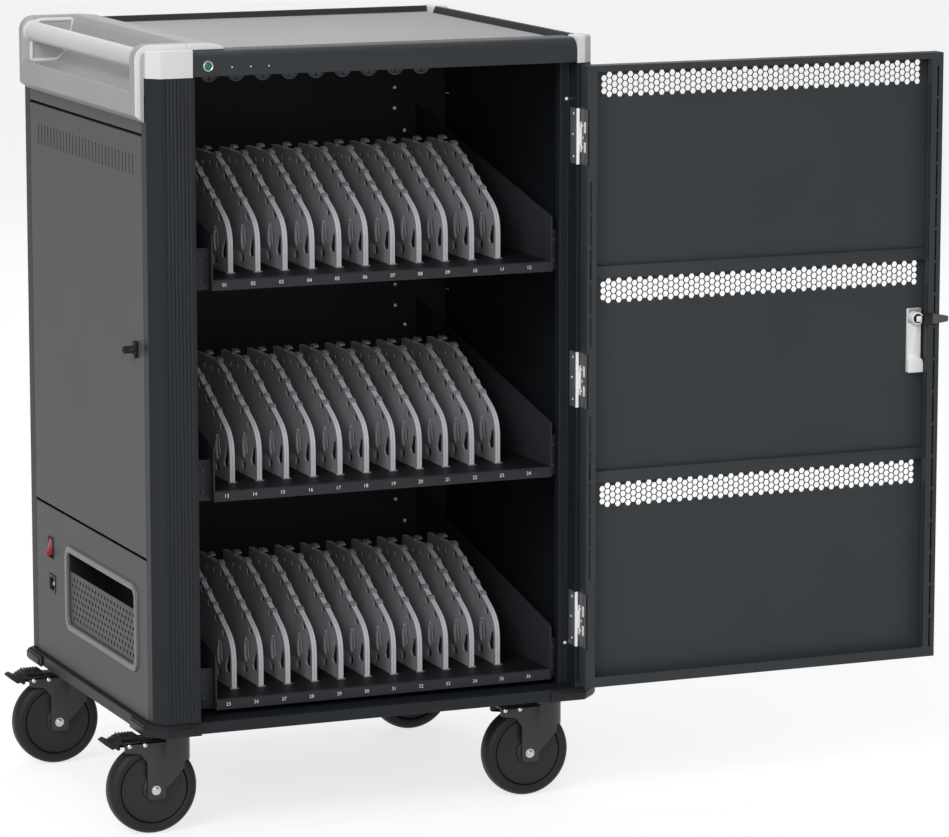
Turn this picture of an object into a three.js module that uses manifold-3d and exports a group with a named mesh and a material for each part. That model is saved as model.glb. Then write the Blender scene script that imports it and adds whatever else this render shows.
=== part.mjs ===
// Laptop charging cart: a steel cabinet on four swivel casters, with three racks of
// upright divider slots, a hinged front door, a side service door and a push handle.
// Millimetres. X runs across the cabinet from its middle, Y from the front face to the
// rear, Z up from the floor. The whole is then set with its box centred over the origin.

import * as THREE from 'three';
import { mergeVertices } from 'three/addons/utils/BufferGeometryUtils.js';
import Module from 'manifold-3d';

const wasm = await Module();
wasm.setup();

// Cabinet
const CABINET_WIDTH = 635;
const CABINET_DEPTH = 562;
const TOP_HEIGHT = 1061;
const SHEET = 2;
const SEAT = 0.3;
const OVERCUT = 1;
const CURVE_STEPS = 4;

// Base tray
const DECK_HEIGHT = 161;
const TRAY_LIP = 16;
const TRAY_OVERHANG = 7.8;
const TRAY_CHAMFER = 22;
const CASTER_PLATE_LENGTH = 84;
const CASTER_PLATE_WIDTH = 66;
const CASTER_PLATE_THICKNESS = 6;

// Corner bumpers
const BUMPER_PROUD = 4.8;
const BUMPER_HEIGHT = 16;
const BUMPER_DROP = 1.4;
const BUMPER_FRONT_REACH = 71;
const BUMPER_SIDE_REACH = 82.7;

// Pillars
const CAP_HEIGHT = 37;
const PILLAR_CHAMFER_X = 15;
const PILLAR_CHAMFER_Y = 15.5;
const PILLAR_WALL = 3;
const PILLAR_MITRE = 1;
const PILLAR_SIDE = 34;
const PILLAR_REAR_SIDE = 38;
const FLUTED_FACE = 62.8;
const REAR_FACE = 55.5;
const REAR_RETURN = 26;
const FLUTE_COUNT = 7;
const FLUTE_WIDTH = 3.2;
const FLUTE_DEPTH = 1.2;
const FLUTE_MARGIN = 6;
const REBATE_FACE = 26.5;
const REBATE_DEPTH = 30;
const REBATE_WIDTH = 12.4;
const REBATE_RETURN = 15;

// Header, top rails and caps
const HEADER_RISE = 1;
const HEADER_SINK = 3;
const HEADER_DEPTH = 50;
const HEADER_ROUND = 18;
const RAIL_ROUND = 18;
const RAIL_WALL = 3;
const RAIL_WIDTH = 24.5;
const RAIL_LEAN = 3.5;
const BACK_RAIL_SINK = 5;
const BACK_RAIL_DEPTH = 17;
const BACK_RAIL_ROUND = 10;
const LEDGE = 14;
const CAP_LIP = 1.5;
const CAP_ROUND = 8;
const BOARD_SINK = 9;
const BOARD_THICKNESS = 12;
const MAT_THICKNESS = 3;

// Power button
const BUTTON_INSET = 19.5;
const BUTTON_RISE = 14;
const BUTTON_RADIUS = 4.9;
const BUTTON_LENGTH = 13;
const BUTTON_TRAVEL = 1.5;
const BUTTON_PROUD = 2;
const RING_WALL = 2;
const RING_PROUD = 1.6;
const RING_LENGTH = 9;

// Left side: service panel, side door and top rail
const SERVICE_HEIGHT = 218;
const SIDE_PANEL_GAP = 4;
const SIDE_DOOR_DROP = 115;
const SIDE_DOOR_GAP = 0.8;
const SIDE_DOOR_FLANGE = 14;
const VENT_COUNT = 30;
const VENT_MARGIN = 37.7;
const VENT_WIDTH = 4.4;
const VENT_HEIGHT = 27.6;
const VENT_DROP = 26.8;

// Side lock with its key
const KEY_INSET = 27.2;
const KEY_BELOW_MIDDLE = 3.5;
const BARREL_RADIUS = 5;
const BARREL_LENGTH = 18;
const WING_WIDTH = 12;
const WING_HEIGHT = 23;
const WING_PROUD = 6;
const KEY_LENGTH = 14;
const KEY_WAY_WIDTH = 2.4;
const KEY_WAY_HEIGHT = 6;
const KEY_WAY_DEPTH = 5;

// Rocker switch, power inlet and cord pocket in the service panel
const ROCKER_INSET = 68;
const ROCKER_RAISED = 160;
const ROCKER_WIDTH = 18;
const ROCKER_HALF_HEIGHT = 12.5;
const ROCKER_ROOT_HALF_HEIGHT = 7.5;
const ROCKER_RISE = 5.5;
const ROCKER_DISH = 2;
const ROCKER_TILT = 8;
const ROCKER_DEPTH = 3;
const ROCKER_CLEARANCE = 1.6;
const INLET_INSET = 72;
const INLET_RAISED = 109;
const INLET_WIDTH = 29.4;
const INLET_HEIGHT = 25.4;
const INLET_PROUD = 1;
const INLET_DEPTH = 28;
const INLET_WALL = 4;
const INLET_WELL = 15;
const BLADE_WIDTH = 2;
const BLADE_HEIGHT = 4;
const BLADE_LENGTH = 11;
const BLADE_SPREAD = 7;
const POCKET_INSET = 50;
const POCKET_LENGTH = 293;
const POCKET_RAISED = 67;
const POCKET_HEIGHT = 101;
const POCKET_DEPTH = 52;
const BEZEL_BAND = 11;
const BEZEL_PROUD = 2.5;
const BEZEL_ROUND = 20;
const PLATE_HEIGHT = 74;
const PLATE_INSET = 4;
const PLATE_THICKNESS = 1.5;
const PERFORATION_COLUMNS = 7;
const PERFORATION_ROWS = 3;
const PERFORATION_RADIUS = 7;

// Handle
const HOUSING_REACH = 13.5;
const HOUSING_RISE = 6.5;
const HOUSING_FRONT = 20;
const HOUSING_REAR_INSET = 35;
const HOUSING_WIDTH = 69;
const HOUSING_WALL = 4;
const APRON_HEIGHT = 40;
const APRON_CHAMFER = 9;
const APRON_LIP = 5.7;
const APRON_TOE = 1;
const TROUGH_DROP = 67.2;
const TROUGH_SLOPE = 19.5;
const TROUGH_RISE = 15.7;
const TROUGH_LEAN = 10;
const SHOULDER_LAP = 57;
const SHOULDER_SLOPE = 8;
const FRONT_CHEEK = 21;
const REAR_CHEEK = 13;
const CHEEK_ROUND = 20;
const BAR_RADIUS = 13.5;
const BAR_INSET = 18;
const BAR_DROP = 21.5;

// Inner walls
const LEFT_BAY = 72.5;
const BACK_BAY = 33;
const WALL_GAP = 4;
const GROMMET_COUNT = 12;
const GROMMET_MARGIN_LEFT = 72.4;
const GROMMET_MARGIN_RIGHT = 42.1;
const GROMMET_DROP = 47;
const GROMMET_RADIUS = 12.5;
const GROMMET_SIDES = 8;

// Shelves and dividers
const SHELF_COUNT = 3;
const SHELF_RISE = 7;
const SHELF_HEADROOM = 286.5;
const SHELF_MARGIN_LEFT = 22.3;
const SHELF_MARGIN_RIGHT = 9.3;
const SHELF_FRONT = 32;
const SHELF_LIP = 14;
const CHEEK_FRONT_HEIGHT = 75.5;
const CHEEK_REAR_HEIGHT = 184;
const FLANGE_HEIGHT = 56;
const FLANGE_LAP = 1;
const DIVIDER_COUNT = 11;
const DIVIDER_MARGIN_LEFT = 46.4;
const DIVIDER_MARGIN_RIGHT = 57.6;
const DIVIDER_THICKNESS = 7;
const DIVIDER_SETBACK = 55.5;
const DIVIDER_LENGTH = 252;
const DIVIDER_FRONT_HEIGHT = 37;
const DIVIDER_NOSE = { along: 6, rise: 22 };
const DIVIDER_SHOULDER = { along: 57, height: 88 };
const DIVIDER_CROWN = { along: 166, height: 153 };
const DIVIDER_SLOPE_TOP = 146;
const HOOK_COUNT = 4;
const HOOK_HEIGHT = 9;
const HOOK_LENGTH = 11;
const HOOK_CURL = 2;
const TIE_SLOT = { along: 15.5, height: 28.5, length: 7, rise: 25, taper: 2 };
const RING_SLOT = { along: 50, height: 43, length: 8, rise: 30, taper: 4 };
const FOOT_SLOT = { along: 62, height: 13, length: 8, rise: 12, taper: 0 };

// Front door, hung on a vertical hinge line at the right and stood wide open
const HINGE_OFFSET = 0.5;
const HINGE_Y = -2;
const DOOR_EDGE = 2.8;
const DOOR_CLEARANCE = 3.7;
const DOOR_RISE = 4.4;
const DOOR_DROP = 2;
const DOOR_THICKNESS = 24;
const DOOR_SKIN_OFFSET = 2;
const DOOR_FLANGE = { hinge: 14, free: 18, top: 8.5, bottom: 14 };
const DOOR_RAIL_SHARES = [0.336, 0.666];
const DOOR_RAIL_HEIGHT = 18;
const DOOR_RAIL_DEPTH = 10;
const HEX_RADIUS = 8;
const HEX_ROW_PITCH = 18;
const HEX_ROWS = 2;
const HEX_COLUMNS = 12;
const HEX_MARGIN = 41.2;
const HEX_DROP = 35;

// Hinge leaves
const HINGE_HEIGHT = 76;
const HINGE_RISE = 54.6;
const HINGE_DROP = 59;
const LEAF_THICKNESS = 1.4;
const LEAF_WIDTH = 20;
const KNUCKLE_RADIUS = 1.7;
const KNUCKLE_SIDES = 10;
const PIN_RADIUS = 0.8;
const PIN_CLEARANCE = 0.3;
const KNUCKLE_LENGTH = 25;
const LEAF_POCKET_CLEARANCE = 0.25;

// Door lock
const LOCK_INSET = 40.5;
const LOCK_WIDTH = 20.4;
const LOCK_HEIGHT = 90.4;
const LOCK_BELOW_MIDDLE = 21.7;
const LOCK_DEPTH = 5.7;
const HOOD_WIDTH = 23.2;
const HOOD_HEIGHT = 23.4;
const HOOD_DEPTH = 12.2;
const GLAND_RADIUS = 8.4;
const GLAND_LENGTH = 17;
const SPINDLE_INSET = 32.5;
const SPINDLE_BELOW_TOP = 12.4;
const SPINDLE_RADIUS = 5.5;
const SPINDLE_CLEARANCE = 0.6;
const SPINDLE_SIDES = 12;
const TONGUE_REACH = 46.5;
const TONGUE_HEIGHT = 18;
const TONGUE_TIP = 10;
const TONGUE_THICKNESS = 3.6;
const TONGUE_GAP = 0.8;
const LEVER_LENGTH = 96;
const LEVER_WIDTH = 22;
const LEVER_THICKNESS = 9;
const LEVER_GAP = 1.5;

// Casters
const KINGPIN_SIDE_INSET = 44.2;
const KINGPIN_END_INSET = 67;
const TRAIL = 30.5;
const WHEEL_RADIUS = 62.5;
const TYRE_WIDTH = 30;
const TYRE_SHOULDER = 5;
const TYRE_CROWN = 10;
const HUB_RADIUS = 47;
const HUB_DISH = 3;
const HUB_BOSS = 16;
const HUB_DRAFT = 2;
const HUB_LENGTH = 32.8;
const BORE_CLEARANCE = 0.5;
const WHEEL_STEPS = 20;
const AXLE_RADIUS = 6;
const BOLT_RADIUS = 9;
const BOLT_LENGTH = 3;
const LEG_GAP = 0.6;
const LEG_THICKNESS = 4;
const LEG_HALF_WIDTH = 14;
const CROWN_BOTTOM = 127;
const CROWN_THICKNESS = 4;
const CROWN_EAR = 43;
const CROWN_NOSE = 55;
const LEG_EAR_BOTTOM = 112;
const LEG_WAIST = { along: 43, height: 93 };
const KING_BOSS_RADIUS = 24;
const KINGPIN_RADIUS = 5.5;
const KINGPIN_CLEARANCE = 0.7;
const KINGPIN_DEPTH = 4;

// Brake pedals, drawn from the axle
const PEDAL_WIDTH = 28;
const PEDAL_PIVOT = { along: -28, height: 138 };
const PEDAL_PIN = 2;
const PEDAL_PIN_CLEARANCE = 0.4;
const PEDAL_LUG = 3.6;
const PEDAL_LUG_REACH = 5;
const PEDAL_ARM = { root: -24, top: 142, bottom: 135 };
const PEDAL_TREAD = { along: -66, top: 137.7, bottom: 128 };
const PEDAL_HEEL = { along: -50, bottom: 124.1 };
const PEDAL_TOE = { along: -80.5, top: 142, bottom: 138 };

// Charging gear in the left bay
const STRIP_COUNT = 3;
const STRIP_FIRST = 470;
const STRIP_PITCH = 130;
const STRIP_START = 150;
const STRIP_END_INSET = 59;
const STRIP_HEIGHT = 46;
const STRIP_DEPTH = 40;
const SOCKET_COUNT = 6;
const SOCKET_SIZE = 28;
const SOCKET_DEPTH = 9;
const CONTROLLER_START = 150;
const CONTROLLER_LENGTH = 180;
const CONTROLLER_BOTTOM = 800;
const CONTROLLER_HEIGHT = 80;
const CONTROLLER_DEPTH = 48;
const CONTROLLER_WINDOW = { length: 60, height: 24, depth: 2 };

// Derived places
const SIDE = CABINET_WIDTH / 2;
const PILLAR_TOP = TOP_HEIGHT - CAP_HEIGHT;
const TRAY_SIDE = SIDE + TRAY_OVERHANG;
const LIP_BOTTOM = DECK_HEIGHT - TRAY_LIP;
const FOOT = DECK_HEIGHT + SEAT;
const FLUTED_EDGE = -SIDE + FLUTED_FACE;
const REBATE_WALL = SIDE - REBATE_FACE;
const REBATE_EDGE = REBATE_WALL - REBATE_WIDTH;
const REAR_START = CABINET_DEPTH - PILLAR_REAR_SIDE;
const PANEL_FRONT = PILLAR_SIDE + SEAT;
const PANEL_REAR = REAR_START - SEAT;
const CAP_BOTTOM = PILLAR_TOP + SEAT;
const HEADER_TOP = TOP_HEIGHT - HEADER_SINK;
const BACK_RAIL_TOP = TOP_HEIGHT - BACK_RAIL_SINK;
const BOARD_TOP = TOP_HEIGHT - BOARD_SINK;
const BOARD_BOTTOM = BOARD_TOP - BOARD_THICKNESS;
const MAT_BOTTOM = BOARD_TOP - MAT_THICKNESS;
const LEDGE_TOP = BOARD_BOTTOM - SEAT;
const RAIL_INNER = SIDE - RAIL_WIDTH;
const BACK_RAIL_INNER = CABINET_DEPTH - BACK_RAIL_DEPTH;
const HOUSING_TOP = TOP_HEIGHT + HOUSING_RISE;
const HOUSING_OUTER = -SIDE - HOUSING_REACH;
const HOUSING_INNER = HOUSING_OUTER + HOUSING_WIDTH;
const WALL_OUTER = HOUSING_INNER + TROUGH_LEAN;
const HOUSING_REAR = CABINET_DEPTH - HOUSING_REAR_INSET;
const TROUGH_FLOOR = HOUSING_TOP - TROUGH_DROP;
const PLATE_BOTTOM = DECK_HEIGHT - SHEET - CASTER_PLATE_THICKNESS;
const PARTITION_X = -SIDE + LEFT_BAY;
const PARTITION_RIGHT = PARTITION_X + SHEET / 2;
const BACK_WALL_Y = CABINET_DEPTH - BACK_BAY;
const WALL_TOP = PILLAR_TOP - WALL_GAP;
const SERVICE_TOP = DECK_HEIGHT + SERVICE_HEIGHT;
const SIDE_DOOR_BOTTOM = SERVICE_TOP + SIDE_PANEL_GAP;
const SIDE_DOOR_TOP = TOP_HEIGHT - SIDE_DOOR_DROP;
const KINGPIN_X = SIDE - KINGPIN_SIDE_INSET;
const KINGPIN_Y = [KINGPIN_END_INSET, CABINET_DEPTH - KINGPIN_END_INSET];
const HINGE_X = REBATE_WALL + HINGE_OFFSET;
const DOOR_WIDTH = HINGE_X - DOOR_EDGE - FLUTED_EDGE - DOOR_CLEARANCE;
const DOOR_BOTTOM = DECK_HEIGHT + DOOR_RISE;
const DOOR_TOP = PILLAR_TOP - DOOR_DROP;
const DOOR_FREE = DOOR_EDGE + DOOR_WIDTH;
const LOCK_BOTTOM = (DOOR_BOTTOM + DOOR_TOP) / 2 - LOCK_BELOW_MIDDLE;
const SPINDLE_U = DOOR_FREE - SPINDLE_INSET;
const SPINDLE_Z = LOCK_BOTTOM + LOCK_HEIGHT - SPINDLE_BELOW_TOP;

// Finishes
const paint = (color, roughness, metalness) => new THREE.MeshStandardMaterial({ color, roughness, metalness });
const slatePaint = () => paint(0x33383b, 0.5, 0.2);
const sidePaint = () => paint(0x6a6b6c, 0.55, 0.2);
const blackPaint = () => paint(0x17181a, 0.6, 0.2);
const greyPlastic = () => paint(0x9b9c9d, 0.5, 0);
const palePlastic = () => paint(0xd9dadb, 0.45, 0);
const dividerPlastic = () => paint(0x808487, 0.5, 0);
const matRubber = () => paint(0xb2b3b5, 0.8, 0);
const blackPlastic = () => paint(0x1c1d1f, 0.5, 0);
const darkSteel = () => paint(0x3a3c3e, 0.4, 0.6);
const brightSteel = () => paint(0xc9cbcd, 0.3, 0.9);
const tyreRubber = () => paint(0x2b2d2f, 0.7, 0);
const greenPlastic = () => paint(0x2f7d4f, 0.4, 0);

// Turns a drawing plane so that its extrusion runs along the named axis: across x the
// outline is (y, z), across y it is (x, z) and across z it is (x, y).
const AXIS_FRAMES = {
  x: new THREE.Matrix4().set(0, 0, 1, 0, 1, 0, 0, 0, 0, 1, 0, 0, 0, 0, 0, 1),
  y: new THREE.Matrix4().set(1, 0, 0, 0, 0, 0, -1, 0, 0, 1, 0, 0, 0, 0, 0, 1),
  z: new THREE.Matrix4(),
};

// A closed geometry as a solid that can be joined and cut.
function solidOf(geometry) {
  geometry.deleteAttribute('normal');
  geometry.deleteAttribute('uv');
  const merged = mergeVertices(geometry, 1e-4);
  return new wasm.Manifold(new wasm.Mesh({
    numProp: 3,
    vertProperties: new Float32Array(merged.attributes.position.array),
    triVerts: new Uint32Array(merged.index.array),
  }));
}

function geometryOf(solid) {
  const mesh = solid.getMesh();
  const geometry = new THREE.BufferGeometry();
  geometry.setAttribute('position', new THREE.BufferAttribute(Float32Array.from(mesh.vertProperties), 3));
  geometry.setIndex(new THREE.BufferAttribute(Uint32Array.from(mesh.triVerts), 1));
  geometry.computeVertexNormals();
  return geometry;
}

const shapeOf = (outline) => new THREE.Shape(outline.map(([u, v]) => new THREE.Vector2(u, v)));

// An outline extruded from low to high along an axis, with the given outlines cut out of it.
function prism(axis, low, high, outline, holes = []) {
  const shape = outline instanceof THREE.Shape ? outline : shapeOf(outline);
  for (const hole of holes) {
    const points = shapeOf(hole).getPoints();
    shape.holes.push(new THREE.Path(THREE.ShapeUtils.isClockWise(points) ? points.reverse() : points));
  }
  const geometry = new THREE.ExtrudeGeometry(shape, {
    depth: high - low,
    bevelEnabled: false,
    curveSegments: CURVE_STEPS,
  });
  geometry.applyMatrix4(AXIS_FRAMES[axis]);
  const shift = { x: [low, 0, 0], y: [0, high, 0], z: [0, 0, low] }[axis];
  geometry.translate(...shift);
  return solidOf(geometry);
}

function block(x0, x1, y0, y1, z0, z1) {
  return prism('z', z0, z1, [[x0, y0], [x1, y0], [x1, y1], [x0, y1]]);
}

// A round bar of many sides along an axis, centred on the two other coordinates.
function drum(axis, low, high, [u, v], radius, sides = 16) {
  const outline = [];
  for (let side = 0; side < sides; side += 1) {
    const angle = (side + 0.5) * 2 * Math.PI / sides;
    outline.push([u + radius * Math.cos(angle), v + radius * Math.sin(angle)]);
  }
  return prism(axis, low, high, outline);
}

function hexagon(u, v, radius) {
  return Array.from({ length: 6 }, (_, side) => {
    const angle = side * Math.PI / 3 + Math.PI / 6;
    return [u + radius * Math.cos(angle), v + radius * Math.sin(angle)];
  });
}

const rectangle = (u0, u1, v0, v1) => [[u0, v0], [u1, v0], [u1, v1], [u0, v1]];

function roundedRectangle(u0, u1, v0, v1, radius) {
  const shape = new THREE.Shape();
  shape.absarc(u1 - radius, v1 - radius, radius, 0, Math.PI / 2);
  shape.absarc(u0 + radius, v1 - radius, radius, Math.PI / 2, Math.PI);
  shape.absarc(u0 + radius, v0 + radius, radius, Math.PI, Math.PI * 1.5);
  shape.absarc(u1 - radius, v0 + radius, radius, Math.PI * 1.5, Math.PI * 2);
  return shape;
}

const joined = (first, ...others) => others.reduce((whole, solid) => whole.add(solid), first);
const cut = (first, ...others) => others.reduce((whole, solid) => whole.subtract(solid), first);
const common = (first, ...others) => others.reduce((whole, solid) => whole.intersect(solid), first);

const cart = new THREE.Group();

function place(group, name, solid, material) {
  const mesh = new THREE.Mesh(geometryOf(solid), material);
  mesh.name = name;
  group.add(mesh);
}

// Base tray: a folded deck with a lip turned down all round and a plate under each corner
// that takes a caster's kingpin.
function trayOutline(inset) {
  const slope = TRAY_CHAMFER - inset * (2 - Math.SQRT2);
  const side = TRAY_SIDE - inset;
  const front = inset;
  const rear = CABINET_DEPTH - inset;
  return [
    [-side + slope, front], [side - slope, front], [side, front + slope], [side, rear - slope],
    [side - slope, rear], [-side + slope, rear], [-side, rear - slope], [-side, front + slope],
  ];
}

let tray = prism('z', LIP_BOTTOM, DECK_HEIGHT, trayOutline(0));
tray = cut(tray, prism('z', LIP_BOTTOM - OVERCUT, DECK_HEIGHT - SHEET, trayOutline(SHEET)));
for (const x of [-KINGPIN_X, KINGPIN_X]) {
  for (const y of KINGPIN_Y) {
    const plate = block(x - CASTER_PLATE_LENGTH / 2, x + CASTER_PLATE_LENGTH / 2,
      y - CASTER_PLATE_WIDTH / 2, y + CASTER_PLATE_WIDTH / 2, PLATE_BOTTOM, DECK_HEIGHT - SHEET / 2);
    const socket = drum('z', PLATE_BOTTOM - OVERCUT, PLATE_BOTTOM + KINGPIN_DEPTH + OVERCUT, [x, y],
      KINGPIN_RADIUS + KINGPIN_CLEARANCE, 12);
    tray = cut(joined(tray, plate), socket);
  }
}
place(cart, 'base_tray', tray, slatePaint());

// Corner bumpers: rubber strips that follow the tray's chamfered corners.
function bumper(side, rear) {
  const along = (offset) => [
    [TRAY_SIDE - BUMPER_FRONT_REACH, -offset],
    [TRAY_SIDE - TRAY_CHAMFER + offset * (Math.SQRT2 - 1), -offset],
    [TRAY_SIDE + offset, TRAY_CHAMFER - offset * (Math.SQRT2 - 1)],
    [TRAY_SIDE + offset, BUMPER_SIDE_REACH],
  ];
  const outline = [...along(SEAT), ...along(BUMPER_PROUD).reverse()];
  const placed = outline.map(([x, y]) => [side * x, rear ? CABINET_DEPTH - y : y]);
  const bottom = LIP_BOTTOM - BUMPER_DROP;
  return prism('z', bottom, bottom + BUMPER_HEIGHT, placed);
}
place(cart, 'bumper_front_left', bumper(-1, false), blackPlastic());
place(cart, 'bumper_front_right', bumper(1, false), blackPlastic());
place(cart, 'bumper_rear_left', bumper(-1, true), blackPlastic());
place(cart, 'bumper_rear_right', bumper(1, true), blackPlastic());

// Front left pillar: a fluted channel, open to the inside, with a slot for the door's tongue.
const doorClosedBack = HINGE_Y + DOOR_SKIN_OFFSET + DOOR_THICKNESS;
const tongueFront = doorClosedBack + TONGUE_GAP;
const flutes = [];
const flutePitch = (FLUTED_FACE - PILLAR_CHAMFER_X - 2 * FLUTE_MARGIN) / FLUTE_COUNT;
for (let flute = 0; flute < FLUTE_COUNT; flute += 1) {
  const middle = -SIDE + PILLAR_CHAMFER_X + FLUTE_MARGIN + (flute + 0.5) * flutePitch;
  flutes.push([middle - FLUTE_WIDTH / 2, 0], [middle, FLUTE_DEPTH], [middle + FLUTE_WIDTH / 2, 0]);
}
const frontLeft = prism('z', FOOT, PILLAR_TOP, [
  [-SIDE, PILLAR_SIDE], [-SIDE, PILLAR_CHAMFER_Y], [-SIDE + PILLAR_CHAMFER_X, 0], ...flutes,
  [FLUTED_EDGE, 0], [FLUTED_EDGE, PILLAR_SIDE], [FLUTED_EDGE - PILLAR_WALL, PILLAR_SIDE],
  [FLUTED_EDGE - PILLAR_WALL, PILLAR_WALL], [-SIDE + PILLAR_CHAMFER_X + PILLAR_MITRE, PILLAR_WALL],
  [-SIDE + PILLAR_WALL, PILLAR_CHAMFER_Y + PILLAR_MITRE], [-SIDE + PILLAR_WALL, PILLAR_SIDE],
]);
const strike = block(FLUTED_EDGE - 2 * PILLAR_WALL, FLUTED_EDGE + OVERCUT,
  tongueFront - TONGUE_GAP, tongueFront + TONGUE_THICKNESS + TONGUE_GAP,
  SPINDLE_Z - TONGUE_HEIGHT / 2 - SHEET, SPINDLE_Z + TONGUE_HEIGHT / 2 + SHEET);
place(cart, 'pillar_front_left', cut(frontLeft, strike), slatePaint());

// Front right pillar: its rebate takes the door's hinged edge.
place(cart, 'pillar_front_right', prism('z', FOOT, PILLAR_TOP, [
  [REBATE_WALL, 0], [SIDE - PILLAR_CHAMFER_X, 0], [SIDE, PILLAR_CHAMFER_Y], [SIDE, PILLAR_SIDE],
  [SIDE - PILLAR_WALL, PILLAR_SIDE], [SIDE - PILLAR_WALL, PILLAR_CHAMFER_Y + PILLAR_MITRE],
  [SIDE - PILLAR_CHAMFER_X - PILLAR_MITRE, PILLAR_WALL], [REBATE_WALL + PILLAR_WALL, PILLAR_WALL],
  [REBATE_WALL + PILLAR_WALL, REBATE_DEPTH + PILLAR_WALL],
  [REBATE_EDGE + PILLAR_WALL, REBATE_DEPTH + PILLAR_WALL],
  [REBATE_EDGE + PILLAR_WALL, REBATE_DEPTH + REBATE_RETURN], [REBATE_EDGE, REBATE_DEPTH + REBATE_RETURN],
  [REBATE_EDGE, REBATE_DEPTH], [REBATE_WALL, REBATE_DEPTH],
]), slatePaint());

// Rear pillars: plain channels with the same chamfer.
function rearPillar(side) {
  const rear = CABINET_DEPTH;
  const outline = [
    [SIDE, REAR_START], [SIDE, rear - PILLAR_CHAMFER_Y], [SIDE - PILLAR_CHAMFER_X, rear],
    [SIDE - REAR_FACE, rear], [SIDE - REAR_FACE, rear - REAR_RETURN],
    [SIDE - REAR_FACE + PILLAR_WALL, rear - REAR_RETURN], [SIDE - REAR_FACE + PILLAR_WALL, rear - PILLAR_WALL],
    [SIDE - PILLAR_CHAMFER_X - PILLAR_MITRE, rear - PILLAR_WALL],
    [SIDE - PILLAR_WALL, rear - PILLAR_CHAMFER_Y - PILLAR_MITRE], [SIDE - PILLAR_WALL, REAR_START],
  ];
  return prism('z', FOOT, PILLAR_TOP, outline.map(([x, y]) => [side * x, y]));
}
const housingSeat = block(HOUSING_OUTER, HOUSING_INNER + SEAT, REAR_START - OVERCUT, HOUSING_REAR + SEAT,
  TROUGH_FLOOR - SEAT, PILLAR_TOP + OVERCUT);
place(cart, 'pillar_rear_left', cut(rearPillar(-1), housingSeat), slatePaint());
place(cart, 'pillar_rear_right', rearPillar(1), slatePaint());

// Right, rear and inner walls: flat sheets between the pillars.
place(cart, 'right_panel', block(SIDE - SHEET, SIDE, PANEL_FRONT, PANEL_REAR, FOOT, PILLAR_TOP), sidePaint());
const rearReach = SIDE - REAR_FACE - SEAT;
place(cart, 'rear_panel', block(-rearReach, rearReach, CABINET_DEPTH - SHEET, CABINET_DEPTH, FOOT, PILLAR_TOP),
  sidePaint());
place(cart, 'left_partition', block(PARTITION_X - SHEET / 2, PARTITION_RIGHT, PANEL_FRONT,
  CABINET_DEPTH - SHEET - SEAT, FOOT, WALL_TOP), blackPaint());
let backWall = block(PARTITION_RIGHT + SEAT, SIDE - PILLAR_WALL - SEAT, BACK_WALL_Y - SHEET / 2,
  BACK_WALL_Y + SHEET / 2, FOOT, WALL_TOP);
const grommetFirst = PARTITION_X + GROMMET_MARGIN_LEFT;
const grommetPitch = (SIDE - GROMMET_MARGIN_RIGHT - grommetFirst) / (GROMMET_COUNT - 1);
for (let lead = 0; lead < GROMMET_COUNT; lead += 1) {
  const middle = [grommetFirst + lead * grommetPitch, PILLAR_TOP - GROMMET_DROP];
  backWall = cut(backWall, drum('y', BACK_WALL_Y - SHEET, BACK_WALL_Y + SHEET, middle, GROMMET_RADIUS,
    GROMMET_SIDES));
}
place(cart, 'back_wall', backWall, blackPaint());

// Service panel: cut out for the rocker switch, the power inlet and the cord pocket.
const rockerY = REAR_START - ROCKER_INSET;
const rockerZ = DECK_HEIGHT + ROCKER_RAISED;
const inletY = REAR_START - INLET_INSET;
const inletZ = DECK_HEIGHT + INLET_RAISED;
const pocketY = [PILLAR_SIDE + POCKET_INSET, PILLAR_SIDE + POCKET_INSET + POCKET_LENGTH];
const pocketZ = [DECK_HEIGHT + POCKET_RAISED, DECK_HEIGHT + POCKET_RAISED + POCKET_HEIGHT];
const rockerHole = rectangle(rockerY - ROCKER_WIDTH / 2 - SEAT, rockerY + ROCKER_WIDTH / 2 + SEAT,
  rockerZ - ROCKER_HALF_HEIGHT - ROCKER_CLEARANCE, rockerZ + ROCKER_HALF_HEIGHT + ROCKER_CLEARANCE);
const inletHole = rectangle(inletY - INLET_WIDTH / 2 - SEAT, inletY + INLET_WIDTH / 2 + SEAT,
  inletZ - INLET_HEIGHT / 2 - SEAT, inletZ + INLET_HEIGHT / 2 + SEAT);
const pocketHole = rectangle(...pocketY, ...pocketZ);
place(cart, 'service_panel', prism('x', -SIDE, -SIDE + SHEET,
  rectangle(PANEL_FRONT, PANEL_REAR, FOOT, SERVICE_TOP), [rockerHole, inletHole, pocketHole]), sidePaint());

// Rocker switch: a dished rocker that stands with its lower end out.
const tilt = THREE.MathUtils.degToRad(ROCKER_TILT);
const rockerOutline = [
  [-ROCKER_RISE, ROCKER_HALF_HEIGHT], [-ROCKER_RISE + ROCKER_DISH, 0], [-ROCKER_RISE, -ROCKER_HALF_HEIGHT],
  [ROCKER_DEPTH, -ROCKER_ROOT_HALF_HEIGHT], [ROCKER_DEPTH, ROCKER_ROOT_HALF_HEIGHT],
].map(([x, z]) => [
  -SIDE + SHEET + x * Math.cos(tilt) + z * Math.sin(tilt),
  rockerZ + z * Math.cos(tilt) - x * Math.sin(tilt),
]);
place(cart, 'rocker_switch', prism('y', rockerY - ROCKER_WIDTH / 2, rockerY + ROCKER_WIDTH / 2, rockerOutline),
  blackPlastic());

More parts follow.
